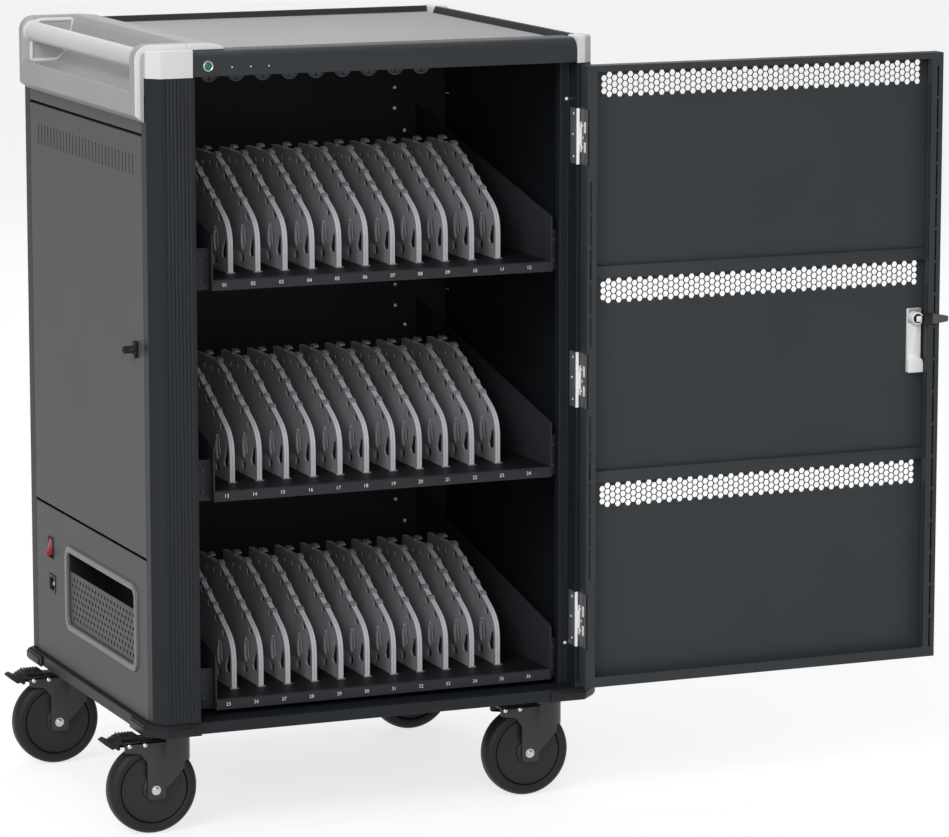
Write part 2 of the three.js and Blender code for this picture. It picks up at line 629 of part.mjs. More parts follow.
// Power inlet: a deep shroud round three blades.
const inletFront = -SIDE - INLET_PROUD;
const wellFloor = inletFront + INLET_WELL;
let inlet = block(inletFront, inletFront + INLET_DEPTH, inletY - INLET_WIDTH / 2, inletY + INLET_WIDTH / 2,
  inletZ - INLET_HEIGHT / 2, inletZ + INLET_HEIGHT / 2);
inlet = cut(inlet, block(inletFront - OVERCUT, wellFloor,
  inletY - INLET_WIDTH / 2 + INLET_WALL, inletY + INLET_WIDTH / 2 - INLET_WALL,
  inletZ - INLET_HEIGHT / 2 + INLET_WALL, inletZ + INLET_HEIGHT / 2 - INLET_WALL));
const bladePlaces = [
  [inletY - BLADE_SPREAD, inletZ - BLADE_HEIGHT / 2],
  [inletY + BLADE_SPREAD, inletZ - BLADE_HEIGHT / 2],
  [inletY, inletZ + BLADE_HEIGHT / 2],
];
for (const [y, z] of bladePlaces) {
  inlet = joined(inlet, block(wellFloor - BLADE_LENGTH, wellFloor + OVERCUT,
    y - BLADE_WIDTH / 2, y + BLADE_WIDTH / 2, z - BLADE_HEIGHT / 2, z + BLADE_HEIGHT / 2));
}
place(cart, 'power_inlet', inlet, blackPlastic());

// Cord pocket: a bezel on the panel's face, a tray behind it and a perforated plate across
// the lower part of its mouth.
const bezelOuter = roundedRectangle(pocketY[0] - BEZEL_BAND, pocketY[1] + BEZEL_BAND,
  pocketZ[0] - BEZEL_BAND, pocketZ[1] + BEZEL_BAND, BEZEL_ROUND);
place(cart, 'pocket_bezel', prism('x', -SIDE - SEAT - BEZEL_PROUD, -SIDE - SEAT, bezelOuter, [pocketHole]),
  slatePaint());
const pocketMouth = -SIDE + SHEET + SEAT;
const pocketBack = pocketMouth + POCKET_DEPTH;
place(cart, 'cord_pocket', cut(
  block(pocketMouth, pocketBack, pocketY[0] - SHEET, pocketY[1] + SHEET, pocketZ[0] - SHEET, pocketZ[1] + SHEET),
  block(pocketMouth - OVERCUT, pocketBack - SHEET, ...pocketY, ...pocketZ),
), blackPlastic());
const plateLow = pocketZ[0] + SEAT;
const plateX = pocketMouth + PLATE_INSET;
const plateY = [pocketY[0] + SEAT, pocketY[1] - SEAT];
const columnPitch = (plateY[1] - plateY[0]) / (PERFORATION_COLUMNS + 0.5);
const perforations = [];
for (let row = 0; row < PERFORATION_ROWS; row += 1) {
  const stagger = row % 2 ? 1 : 0.5;
  for (let column = 0; column < PERFORATION_COLUMNS; column += 1) {
    const y = plateY[0] + columnPitch * (column + stagger);
    const z = plateLow + PLATE_HEIGHT * (row + 0.5) / PERFORATION_ROWS;
    perforations.push(hexagon(y, z, PERFORATION_RADIUS));
  }
}
place(cart, 'pocket_plate', prism('x', plateX, plateX + PLATE_THICKNESS,
  rectangle(...plateY, plateLow, plateLow + PLATE_HEIGHT), perforations), darkSteel());

// Side door: a shallow pan with a row of vent slots, hinged at its rear edge.
const sideDoorY = [PILLAR_SIDE + SIDE_DOOR_GAP, REAR_START - SIDE_DOOR_GAP];
const keyY = sideDoorY[0] + KEY_INSET;
const keyZ = (SIDE_DOOR_BOTTOM + SIDE_DOOR_TOP) / 2 - KEY_BELOW_MIDDLE;
let sideDoor = block(-SIDE, -SIDE + SIDE_DOOR_FLANGE, ...sideDoorY, SIDE_DOOR_BOTTOM, SIDE_DOOR_TOP);
sideDoor = cut(sideDoor, block(-SIDE + SHEET, -SIDE + SIDE_DOOR_FLANGE + OVERCUT, sideDoorY[0] + SHEET,
  sideDoorY[1] - SHEET, SIDE_DOOR_BOTTOM + SHEET, SIDE_DOOR_TOP - SHEET));
const ventTop = SIDE_DOOR_TOP - VENT_DROP;
const ventPitch = (sideDoorY[1] - sideDoorY[0] - 2 * VENT_MARGIN) / (VENT_COUNT - 1);
for (let vent = 0; vent < VENT_COUNT; vent += 1) {
  const y = sideDoorY[0] + VENT_MARGIN + vent * ventPitch;
  sideDoor = cut(sideDoor, block(-SIDE - OVERCUT, -SIDE + SHEET + OVERCUT, y - VENT_WIDTH / 2, y + VENT_WIDTH / 2,
    ventTop - VENT_HEIGHT, ventTop));
}
sideDoor = cut(sideDoor, drum('x', -SIDE - OVERCUT, -SIDE + SHEET + OVERCUT, [keyY, keyZ],
  BARREL_RADIUS + SPINDLE_CLEARANCE));
place(cart, 'side_door', sideDoor, sidePaint());

// Side lock: a barrel through the door, with a winged collar and a short round key stub.
const wingFace = -SIDE - SEAT - WING_PROUD;
const stubEnd = wingFace - KEY_LENGTH;
const wing = roundedRectangle(keyY - WING_WIDTH / 2, keyY + WING_WIDTH / 2,
  keyZ - WING_HEIGHT / 2, keyZ + WING_HEIGHT / 2, WING_WIDTH / 3);
place(cart, 'side_key', cut(
  joined(
    drum('x', stubEnd, -SIDE + BARREL_LENGTH, [keyY, keyZ], BARREL_RADIUS),
    prism('x', wingFace, -SIDE - SEAT, wing),
  ),
  block(stubEnd - OVERCUT, stubEnd + KEY_WAY_DEPTH, keyY - KEY_WAY_WIDTH / 2, keyY + KEY_WAY_WIDTH / 2,
    keyZ - KEY_WAY_HEIGHT / 2, keyZ + KEY_WAY_HEIGHT / 2),
), blackPlastic());

// Left top rail: the strip above the side door, turned inwards to carry the handle.
const railTop = TROUGH_FLOOR - SEAT;
const troughWell = HOUSING_INNER - TROUGH_SLOPE;
place(cart, 'left_top_rail', joined(
  block(-SIDE, -SIDE + SHEET, PANEL_FRONT, PANEL_REAR, SIDE_DOOR_TOP + SIDE_PANEL_GAP, railTop),
  block(-SIDE, troughWell, PANEL_FRONT, PANEL_REAR, railTop - SHEET, railTop),
), sidePaint());

// Handle housing: a moulded trough with an apron outside, a shoulder that lies on the top
// board beside the mat, and a cheek at each end that holds the bar.
const apronInner = -SIDE - 2 * SEAT;
const apronTop = TROUGH_FLOOR + APRON_LIP;
const apronBottom = apronTop - APRON_HEIGHT;
const shoulderEdge = HOUSING_INNER + SHOULDER_LAP;
const wallInner = WALL_OUTER - HOUSING_WALL;
const underside = [
  [HOUSING_OUTER, apronBottom + APRON_CHAMFER], [apronInner - APRON_TOE, apronBottom], [apronInner, apronBottom],
  [apronInner, TROUGH_FLOOR], [troughWell, TROUGH_FLOOR], [HOUSING_INNER, TROUGH_FLOOR + TROUGH_RISE],
  [WALL_OUTER, MAT_BOTTOM + SEAT], [shoulderEdge, MAT_BOTTOM + SEAT], [shoulderEdge - SHOULDER_SLOPE, HOUSING_TOP],
];
const trough = prism('y', HOUSING_FRONT, HOUSING_REAR, [
  ...underside, [wallInner + SHOULDER_SLOPE, HOUSING_TOP], [wallInner, HOUSING_TOP - SHOULDER_SLOPE],
  [HOUSING_INNER - HOUSING_WALL, TROUGH_FLOOR + TROUGH_RISE + HOUSING_WALL / 2],
  [troughWell - HOUSING_WALL / 4, TROUGH_FLOOR + HOUSING_WALL],
  [HOUSING_OUTER + HOUSING_WALL, TROUGH_FLOOR + HOUSING_WALL], [HOUSING_OUTER + HOUSING_WALL, apronTop],
  [HOUSING_OUTER, apronTop],
]);
const cheekShape = shapeOf(underside);
cheekShape.absarc(HOUSING_OUTER + CHEEK_ROUND, HOUSING_TOP - CHEEK_ROUND, CHEEK_ROUND, Math.PI / 2, Math.PI);
const cheeks = [
  [HOUSING_FRONT, HOUSING_FRONT + FRONT_CHEEK],
  [HOUSING_REAR - REAR_CHEEK, HOUSING_REAR],
];
const headerSeat = block(WALL_OUTER, shoulderEdge + OVERCUT, HOUSING_FRONT - OVERCUT, HEADER_DEPTH + SEAT,
  MAT_BOTTOM, HEADER_TOP + SEAT);
const pillarSeat = block(apronInner, WALL_OUTER, HOUSING_FRONT - OVERCUT, PILLAR_SIDE + SEAT,
  apronBottom - OVERCUT, CAP_BOTTOM);
place(cart, 'handle_housing', cut(
  joined(trough, ...cheeks.map(([low, high]) => prism('y', low, high, cheekShape))),
  headerSeat, pillarSeat,
), greyPlastic());
place(cart, 'handle_bar', drum('y', cheeks[0][1] + SEAT, cheeks[1][0] - SEAT,
  [HOUSING_OUTER + BAR_INSET, HOUSING_TOP - BAR_DROP], BAR_RADIUS, 20), greyPlastic());

// Header: a folded beam over the door with a round front edge and a ledge behind.
const headerBottom = PILLAR_TOP + HEADER_RISE;
const headerEnds = [FLUTED_EDGE - CAP_LIP + SEAT, REBATE_WALL - SEAT];
const headerShape = new THREE.Shape();
headerShape.moveTo(HEADER_DEPTH / 2, headerBottom);
headerShape.lineTo(0, headerBottom);
headerShape.lineTo(0, HEADER_TOP - HEADER_ROUND);
headerShape.absarc(HEADER_ROUND, HEADER_TOP - HEADER_ROUND, HEADER_ROUND, Math.PI, Math.PI / 2, true);
headerShape.lineTo(HEADER_DEPTH, HEADER_TOP);
headerShape.lineTo(HEADER_DEPTH, LEDGE_TOP);
headerShape.lineTo(HEADER_DEPTH + LEDGE, LEDGE_TOP);
headerShape.lineTo(HEADER_DEPTH + LEDGE, LEDGE_TOP - RAIL_WALL);
headerShape.lineTo(HEADER_DEPTH - RAIL_WALL, LEDGE_TOP - RAIL_WALL);
headerShape.lineTo(HEADER_DEPTH - RAIL_WALL, HEADER_TOP - RAIL_WALL);
headerShape.lineTo(HEADER_ROUND, HEADER_TOP - RAIL_WALL);
headerShape.absarc(HEADER_ROUND, HEADER_TOP - HEADER_ROUND, HEADER_ROUND - RAIL_WALL, Math.PI / 2, Math.PI);
headerShape.lineTo(RAIL_WALL, headerBottom + RAIL_WALL);
headerShape.lineTo(HEADER_DEPTH / 2, headerBottom + RAIL_WALL);
const buttonMiddle = [headerEnds[0] + BUTTON_INSET, headerBottom + BUTTON_RISE];
const ringRadius = BUTTON_RADIUS + SEAT + RING_WALL;
const BUTTON_SIDES = 14;
const wallNotch = block(headerEnds[0] - OVERCUT, WALL_OUTER + SEAT, HOUSING_FRONT - SEAT,
  HEADER_DEPTH + LEDGE + OVERCUT, headerBottom - OVERCUT, HEADER_TOP + OVERCUT);
place(cart, 'header', cut(prism('x', ...headerEnds, headerShape), wallNotch,
  drum('y', -OVERCUT, HEADER_ROUND, buttonMiddle, ringRadius + SEAT, BUTTON_SIDES)), slatePaint());

// Power button: a sprung plunger in a bright ring.
place(cart, 'button_ring', cut(
  drum('y', -RING_PROUD, RING_LENGTH, buttonMiddle, ringRadius, BUTTON_SIDES),
  drum('y', -RING_PROUD - OVERCUT, RING_LENGTH + OVERCUT, buttonMiddle, BUTTON_RADIUS + SEAT, BUTTON_SIDES),
), brightSteel());
place(cart, 'power_button', drum('y', -BUTTON_PROUD, BUTTON_LENGTH - BUTTON_TRAVEL, buttonMiddle,
  BUTTON_RADIUS, BUTTON_SIDES), greenPlastic());

// Top rails: rounded folded edges whose ledges carry the top board.
const railShape = new THREE.Shape();
railShape.moveTo(SIDE - RAIL_WALL, CAP_BOTTOM);
railShape.lineTo(SIDE, CAP_BOTTOM);
railShape.lineTo(SIDE, TOP_HEIGHT - RAIL_ROUND);
railShape.absarc(SIDE - RAIL_ROUND, TOP_HEIGHT - RAIL_ROUND, RAIL_ROUND, 0, Math.PI / 2);
railShape.lineTo(RAIL_INNER + RAIL_LEAN, TOP_HEIGHT);
railShape.lineTo(RAIL_INNER, BOARD_TOP);
railShape.lineTo(RAIL_INNER, LEDGE_TOP);
railShape.lineTo(RAIL_INNER - LEDGE, LEDGE_TOP);
railShape.lineTo(RAIL_INNER - LEDGE, LEDGE_TOP - RAIL_WALL);
railShape.lineTo(RAIL_INNER + RAIL_WALL, LEDGE_TOP - RAIL_WALL);
railShape.lineTo(RAIL_INNER + RAIL_WALL, BOARD_TOP);
railShape.lineTo(SIDE - RAIL_ROUND, TOP_HEIGHT - RAIL_WALL);
railShape.absarc(SIDE - RAIL_ROUND, TOP_HEIGHT - RAIL_ROUND, RAIL_ROUND - RAIL_WALL, Math.PI / 2, 0, true);
const ledgeMitre = block(RAIL_INNER - LEDGE - OVERCUT, RAIL_INNER, PANEL_FRONT - OVERCUT, HEADER_DEPTH + LEDGE + SEAT,
  LEDGE_TOP - RAIL_WALL - OVERCUT, LEDGE_TOP + OVERCUT);
place(cart, 'top_rail_right', cut(prism('y', PANEL_FRONT, PANEL_REAR, railShape), ledgeMitre), slatePaint());

const backShape = new THREE.Shape();
backShape.moveTo(CABINET_DEPTH - RAIL_WALL, CAP_BOTTOM);
backShape.lineTo(CABINET_DEPTH, CAP_BOTTOM);
backShape.lineTo(CABINET_DEPTH, BACK_RAIL_TOP - BACK_RAIL_ROUND);
backShape.absarc(CABINET_DEPTH - BACK_RAIL_ROUND, BACK_RAIL_TOP - BACK_RAIL_ROUND, BACK_RAIL_ROUND, 0, Math.PI / 2);
backShape.lineTo(BACK_RAIL_INNER, BACK_RAIL_TOP);
backShape.lineTo(BACK_RAIL_INNER, LEDGE_TOP);
backShape.lineTo(BACK_RAIL_INNER - LEDGE, LEDGE_TOP);
backShape.lineTo(BACK_RAIL_INNER - LEDGE, LEDGE_TOP - RAIL_WALL);
backShape.lineTo(BACK_RAIL_INNER + RAIL_WALL, LEDGE_TOP - RAIL_WALL);
backShape.lineTo(BACK_RAIL_INNER + RAIL_WALL, BACK_RAIL_TOP - RAIL_WALL);
backShape.lineTo(CABINET_DEPTH - BACK_RAIL_ROUND, BACK_RAIL_TOP - RAIL_WALL);
backShape.absarc(CABINET_DEPTH - BACK_RAIL_ROUND, BACK_RAIL_TOP - BACK_RAIL_ROUND, BACK_RAIL_ROUND - RAIL_WALL,
  Math.PI / 2, 0, true);
place(cart, 'top_rail_back', prism('x', -SIDE + REAR_FACE + SEAT, RAIL_INNER - SEAT, backShape), slatePaint());

// Top board: a soft grey mat on a board that runs on under the handle's shoulder.
const boardEdges = [RAIL_INNER - SEAT, HEADER_DEPTH + SEAT, BACK_RAIL_INNER - SEAT];
place(cart, 'top_board', joined(
  block(WALL_OUTER + SEAT, ...boardEdges, BOARD_BOTTOM, MAT_BOTTOM),
  block(shoulderEdge + SEAT, ...boardEdges, MAT_BOTTOM - OVERCUT, BOARD_TOP),
), matRubber());

// Corner caps: plastic ends over the pillars, rounded like the rails that they join.
function roundedLow(low, high, round) {
  const shape = new THREE.Shape();
  shape.moveTo(high, CAP_BOTTOM);
  shape.lineTo(low, CAP_BOTTOM);
  shape.lineTo(low, TOP_HEIGHT - round);
  shape.absarc(low + round, TOP_HEIGHT - round, round, Math.PI, Math.PI / 2, true);
  shape.lineTo(high, TOP_HEIGHT);
  return shape;
}
function roundedHigh(low, high, round) {
  const shape = new THREE.Shape();
  shape.moveTo(low, CAP_BOTTOM);
  shape.lineTo(high, CAP_BOTTOM);
  shape.lineTo(high, TOP_HEIGHT - round);
  shape.absarc(high - round, TOP_HEIGHT - round, round, 0, Math.PI / 2);
  shape.lineTo(low, TOP_HEIGHT);
  return shape;
}
const chamferLeft = -SIDE + PILLAR_CHAMFER_X;
const chamferRight = SIDE - PILLAR_CHAMFER_X;
const chamferRear = CABINET_DEPTH - PILLAR_CHAMFER_Y;
const capRear = HOUSING_FRONT - SEAT;
const capLip = FLUTED_EDGE - CAP_LIP;
place(cart, 'cap_front_left', common(
  prism('z', CAP_BOTTOM, TOP_HEIGHT, [
    [capLip, 0], [chamferLeft, 0], [-SIDE, PILLAR_CHAMFER_Y], [-SIDE, capRear], [capLip, capRear],
  ]),
  prism('x', -SIDE, FLUTED_EDGE, roundedLow(0, capRear, CAP_ROUND)),
), palePlastic());
place(cart, 'cap_front_right', common(
  prism('z', CAP_BOTTOM, TOP_HEIGHT, [
    [REBATE_WALL, 0], [chamferRight, 0], [SIDE, PILLAR_CHAMFER_Y], [SIDE, PILLAR_SIDE], [REBATE_WALL, PILLAR_SIDE],
  ]),
  prism('x', REBATE_WALL, SIDE, roundedLow(0, PILLAR_SIDE, HEADER_ROUND)),
  prism('y', 0, PILLAR_SIDE, roundedHigh(REBATE_WALL, SIDE, RAIL_ROUND)),
), palePlastic());
place(cart, 'cap_rear_right', common(
  prism('z', CAP_BOTTOM, TOP_HEIGHT, [
    [RAIL_INNER, REAR_START], [SIDE, REAR_START], [SIDE, chamferRear], [chamferRight, CABINET_DEPTH],
    [RAIL_INNER, CABINET_DEPTH],
  ]),
  prism('x', RAIL_INNER, SIDE, roundedHigh(REAR_START, CABINET_DEPTH, BACK_RAIL_ROUND)),
  prism('y', REAR_START, CABINET_DEPTH, roundedHigh(RAIL_INNER, SIDE, RAIL_ROUND)),
), palePlastic());
const capRearEdge = -SIDE + REAR_FACE;
const capRearStart = HOUSING_REAR + 2 * SEAT;
place(cart, 'cap_rear_left', common(
  prism('z', CAP_BOTTOM, TOP_HEIGHT, [
    [capRearEdge, capRearStart], [-SIDE, capRearStart], [-SIDE, chamferRear], [chamferLeft, CABINET_DEPTH],
    [capRearEdge, CABINET_DEPTH],
  ]),
  prism('x', -SIDE, capRearEdge, roundedHigh(capRearStart, CABINET_DEPTH, BACK_RAIL_ROUND)),
), palePlastic());

// Shelf rack: a folded tray with a front lip, two sloping cheeks with bolting flanges, and a
// row of upright dividers with cable hooks along their sloping backs.
function dividerShape(front, floor) {
  const rear = front + DIVIDER_LENGTH;
  const shoulder = [front + DIVIDER_SHOULDER.along, floor + DIVIDER_SHOULDER.height];
  const crown = front + DIVIDER_CROWN.along;
  const shape = new THREE.Shape();
  shape.moveTo(rear, floor);
  shape.lineTo(front, floor);
  shape.lineTo(front, floor + DIVIDER_FRONT_HEIGHT);
  shape.quadraticCurveTo(front + DIVIDER_NOSE.along, floor + DIVIDER_FRONT_HEIGHT + DIVIDER_NOSE.rise, ...shoulder);
  const run = (crown - shoulder[0]) / HOOK_COUNT;
  const rise = (floor + DIVIDER_SLOPE_TOP - shoulder[1]) / HOOK_COUNT;
  for (let hook = 0; hook < HOOK_COUNT; hook += 1) {
    const y = shoulder[0] + hook * run;
    const z = shoulder[1] + hook * rise;
    shape.lineTo(y, z + HOOK_HEIGHT);
    shape.lineTo(y + HOOK_LENGTH, z + HOOK_HEIGHT + HOOK_CURL);
    shape.lineTo(y + run / 2, z + rise / 2);
  }
  shape.lineTo(crown, floor + DIVIDER_CROWN.height);
  shape.lineTo(rear, floor + DIVIDER_CROWN.height);
  return shape;
}
function dividerSlot(front, floor, { along, height, length, rise, taper }) {
  const y = front + along;
  const z = floor + height;
  return [
    [y - length / 2, z - rise / 2], [y + length / 2, z - rise / 2],
    [y + length / 2 - taper / 2, z + rise / 2], [y - length / 2 + taper / 2, z + rise / 2],
  ];
}
function shelf(bottom) {
  const floor = bottom + SHELF_LIP;
  const left = PARTITION_X + SHELF_MARGIN_LEFT;
  const right = REBATE_EDGE - SHELF_MARGIN_RIGHT;
  const rear = BACK_WALL_Y - SHEET / 2 - SEAT;
  const flangeFront = REBATE_DEPTH + REBATE_RETURN + SEAT;
  const flangeTop = bottom + FLANGE_HEIGHT;
  const cheek = [
    [SHELF_FRONT, bottom], [rear, bottom], [rear, bottom + CHEEK_REAR_HEIGHT],
    [SHELF_FRONT, bottom + CHEEK_FRONT_HEIGHT],
  ];
  const pieces = [
    block(left, right, SHELF_FRONT, rear, floor - SHEET, floor),
    block(left, right, SHELF_FRONT, SHELF_FRONT + SHEET, bottom, floor),
    prism('x', left, left + SHEET, cheek),
    prism('x', right - SHEET, right, cheek),
    block(PARTITION_RIGHT + SEAT, left + FLANGE_LAP, flangeFront, flangeFront + SHEET, bottom, flangeTop),
    block(right - FLANGE_LAP, REBATE_EDGE + PILLAR_WALL + SHEET, flangeFront, flangeFront + SHEET, bottom, flangeTop),
  ];
  const front = SHELF_FRONT + DIVIDER_SETBACK;
  const pitch = (right - left - DIVIDER_MARGIN_LEFT - DIVIDER_MARGIN_RIGHT) / (DIVIDER_COUNT - 1);
  for (let divider = 0; divider < DIVIDER_COUNT; divider += 1) {
    const x = left + DIVIDER_MARGIN_LEFT + divider * pitch;
    const slots = [TIE_SLOT, RING_SLOT, FOOT_SLOT].map((slot) => dividerSlot(front, floor, slot));
    pieces.push(prism('x', x - DIVIDER_THICKNESS / 2, x + DIVIDER_THICKNESS / 2,
      dividerShape(front, floor - SHEET / 2), slots));
  }
  return joined(...pieces);
}
const SHELF_NAMES = ['shelf_bottom', 'shelf_middle', 'shelf_top'];
const shelfFirst = FOOT + SHELF_RISE;
const shelfPitch = (PILLAR_TOP - SHELF_HEADROOM - shelfFirst) / (SHELF_COUNT - 1);
for (let level = 0; level < SHELF_COUNT; level += 1) {
  place(cart, SHELF_NAMES[level], shelf(shelfFirst + level * shelfPitch), dividerPlastic());
}

// Charging gear: three socket strips and their controller on the partition in the left bay.
const gearRight = PARTITION_X - SHEET / 2 - SEAT;
const stripEnd = BACK_WALL_Y - STRIP_END_INSET;
function socketStrip(height) {
  const face = gearRight - STRIP_DEPTH;
  let strip = block(face, gearRight, STRIP_START, stripEnd, height - STRIP_HEIGHT / 2, height + STRIP_HEIGHT / 2);
  const pitch = (stripEnd - STRIP_START) / SOCKET_COUNT;
  for (let socket = 0; socket < SOCKET_COUNT; socket += 1) {
    const y = STRIP_START + (socket + 0.5) * pitch;
    strip = cut(strip, block(face - OVERCUT, face + SOCKET_DEPTH,
      y - SOCKET_SIZE / 2, y + SOCKET_SIZE / 2, height - SOCKET_SIZE / 2, height + SOCKET_SIZE / 2));
  }
  return strip;
}
for (let level = 0; level < STRIP_COUNT; level += 1) {
  place(cart, `socket_strip_${level + 1}`, socketStrip(STRIP_FIRST + level * STRIP_PITCH), blackPlastic());
}
const controllerFace = gearRight - CONTROLLER_DEPTH;
const windowY = CONTROLLER_START + CONTROLLER_LENGTH / 2;
const windowZ = CONTROLLER_BOTTOM + CONTROLLER_HEIGHT / 2;
place(cart, 'charge_controller', cut(
  block(controllerFace, gearRight, CONTROLLER_START, CONTROLLER_START + CONTROLLER_LENGTH,
    CONTROLLER_BOTTOM, CONTROLLER_BOTTOM + CONTROLLER_HEIGHT),
  block(controllerFace - OVERCUT, controllerFace + CONTROLLER_WINDOW.depth,
    windowY - CONTROLLER_WINDOW.length / 2, windowY + CONTROLLER_WINDOW.length / 2,
    windowZ - CONTROLLER_WINDOW.height / 2, windowZ + CONTROLLER_WINDOW.height / 2),
), blackPlastic());

// Front door, drawn from its hinge line: x runs along the door and y through it, with the
// inside of the door towards the viewer while it stands open.
const door = new THREE.Group();
door.position.set(HINGE_X, HINGE_Y, 0);
cart.add(door);
const skinOuter = -DOOR_SKIN_OFFSET;
const skinInner = skinOuter - SHEET;
const doorInner = skinOuter - DOOR_THICKNESS;
const doorRails = DOOR_RAIL_SHARES.map((share) => DOOR_BOTTOM + share * (DOOR_TOP - DOOR_BOTTOM));
let panel = block(DOOR_EDGE, DOOR_FREE, doorInner, skinOuter, DOOR_BOTTOM, DOOR_TOP);
panel = cut(panel,
  block(DOOR_EDGE + DOOR_FLANGE.hinge, DOOR_FREE - DOOR_FLANGE.free, doorInner - OVERCUT, skinInner,
    DOOR_BOTTOM + DOOR_FLANGE.bottom, DOOR_TOP - DOOR_FLANGE.top),
  block(DOOR_EDGE + 2 * SHEET, DOOR_FREE - SHEET, doorInner + SHEET, skinInner,
    DOOR_BOTTOM + SHEET, DOOR_TOP - SHEET));
for (const height of doorRails) {
  panel = joined(panel, block(DOOR_EDGE + SHEET, DOOR_FREE - SHEET / 2, skinInner - DOOR_RAIL_DEPTH,
    skinInner + SHEET / 2, height - DOOR_RAIL_HEIGHT / 2, height + DOOR_RAIL_HEIGHT / 2));
}
const hexPitch = (DOOR_WIDTH - 2 * HEX_MARGIN) / HEX_COLUMNS;
for (const top of [...doorRails, DOOR_TOP - DOOR_FLANGE.top / 2]) {
  for (let row = 0; row < HEX_ROWS; row += 1) {
    for (let column = 0; column < HEX_COLUMNS; column += 1) {
      const x = DOOR_EDGE + HEX_MARGIN + (column + row / 2) * hexPitch;
      const opening = hexagon(x, top - HEX_DROP + row * HEX_ROW_PITCH, HEX_RADIUS);
      panel = cut(panel, prism('y', skinInner - OVERCUT, skinOuter + OVERCUT, opening));
    }
  }
}
const spindleHole = SPINDLE_RADIUS + SPINDLE_CLEARANCE;
panel = cut(panel, drum('y', skinInner - OVERCUT, skinOuter + OVERCUT, [SPINDLE_U, SPINDLE_Z], spindleHole,
  SPINDLE_SIDES));

// Butt hinges: one leaf let into the door's edge, the other on the pillar's rebate wall.
const leafPocket = LEAF_THICKNESS + 2 * LEAF_POCKET_CLEARANCE;
const leafEnd = KNUCKLE_LENGTH + SEAT;
const leafInner = DOOR_EDGE + LEAF_POCKET_CLEARANCE;
const pillarLeafOuter = REBATE_WALL - HINGE_X - SEAT;
const hingeLow = DOOR_BOTTOM + HINGE_RISE;
const hingeHigh = DOOR_TOP - HINGE_DROP - HINGE_HEIGHT;
const hingeBottoms = { bottom: hingeLow, middle: (hingeLow + hingeHigh) / 2, top: hingeHigh };
for (const [name, bottom] of Object.entries(hingeBottoms)) {
  const top = bottom + HINGE_HEIGHT;
  panel = cut(panel, block(DOOR_EDGE - OVERCUT, DOOR_EDGE + leafPocket,
    skinOuter - LEAF_WIDTH - LEAF_POCKET_CLEARANCE, OVERCUT,
    bottom - LEAF_POCKET_CLEARANCE, top + LEAF_POCKET_CLEARANCE));
  const doorLeaf = cut(joined(
    block(leafInner, leafInner + LEAF_THICKNESS, skinOuter - LEAF_WIDTH, PIN_RADIUS, bottom, top),
    block(0, leafInner + LEAF_THICKNESS, -PIN_RADIUS, PIN_RADIUS, bottom + leafEnd, top - leafEnd),
    drum('z', bottom + leafEnd, top - leafEnd, [0, 0], KNUCKLE_RADIUS, KNUCKLE_SIDES),
  ), drum('z', bottom, top, [0, 0], PIN_RADIUS + PIN_CLEARANCE, KNUCKLE_SIDES));
  place(door, `hinge_${name}_door_leaf`, doorLeaf, brightSteel());
  const pillarLeaf = joined(
    cut(block(pillarLeafOuter - LEAF_THICKNESS, pillarLeafOuter, 0, -HINGE_Y + LEAF_WIDTH, bottom, top),
      block(-2 * leafPocket, OVERCUT, -OVERCUT, KNUCKLE_RADIUS + 2 * SEAT,
        bottom + KNUCKLE_LENGTH, top - KNUCKLE_LENGTH)),
    drum('z', bottom, bottom + KNUCKLE_LENGTH, [0, 0], KNUCKLE_RADIUS, KNUCKLE_SIDES),
    drum('z', top - KNUCKLE_LENGTH, top, [0, 0], KNUCKLE_RADIUS, KNUCKLE_SIDES),
    drum('z', bottom + OVERCUT, top - OVERCUT, [0, 0], PIN_RADIUS, KNUCKLE_SIDES),
  );
  place(door, `hinge_${name}_pillar_leaf`, pillarLeaf, brightSteel());
}
place(door, 'door_panel', panel, slatePaint());

// Door lock: a bracket on the skin, with a spindle that carries a tongue inside and a lever
// handle outside.
const lockBack = skinInner - SEAT;
const lockLeft = DOOR_FREE - LOCK_INSET;
const lockShape = rectangle(lockLeft, lockLeft + LOCK_WIDTH, LOCK_BOTTOM, LOCK_BOTTOM + LOCK_HEIGHT);
const hoodMiddle = lockLeft + LOCK_WIDTH / 2;
const hoodTop = LOCK_BOTTOM + HOOD_HEIGHT;
const hood = shapeOf([[hoodMiddle - HOOD_WIDTH / 2, LOCK_BOTTOM], [hoodMiddle + HOOD_WIDTH / 2, LOCK_BOTTOM]]);
hood.absarc(hoodMiddle, hoodTop - HOOD_WIDTH / 2, HOOD_WIDTH / 2, 0, Math.PI);
place(door, 'lock_plate', cut(
  joined(
    prism('y', lockBack - LOCK_DEPTH, lockBack, lockShape),
    prism('y', lockBack - HOOD_DEPTH, lockBack, hood),
    drum('y', lockBack - GLAND_LENGTH, lockBack - LOCK_DEPTH + OVERCUT, [SPINDLE_U, SPINDLE_Z], GLAND_RADIUS),
  ),
  drum('y', lockBack - GLAND_LENGTH - OVERCUT, lockBack + OVERCUT, [SPINDLE_U, SPINDLE_Z], spindleHole,
    SPINDLE_SIDES),
), brightSteel());
const tongueBack = doorInner - TONGUE_GAP;
const tongueTip = SPINDLE_U + TONGUE_REACH;
const tongueNeck = SPINDLE_U + TONGUE_REACH / 2;
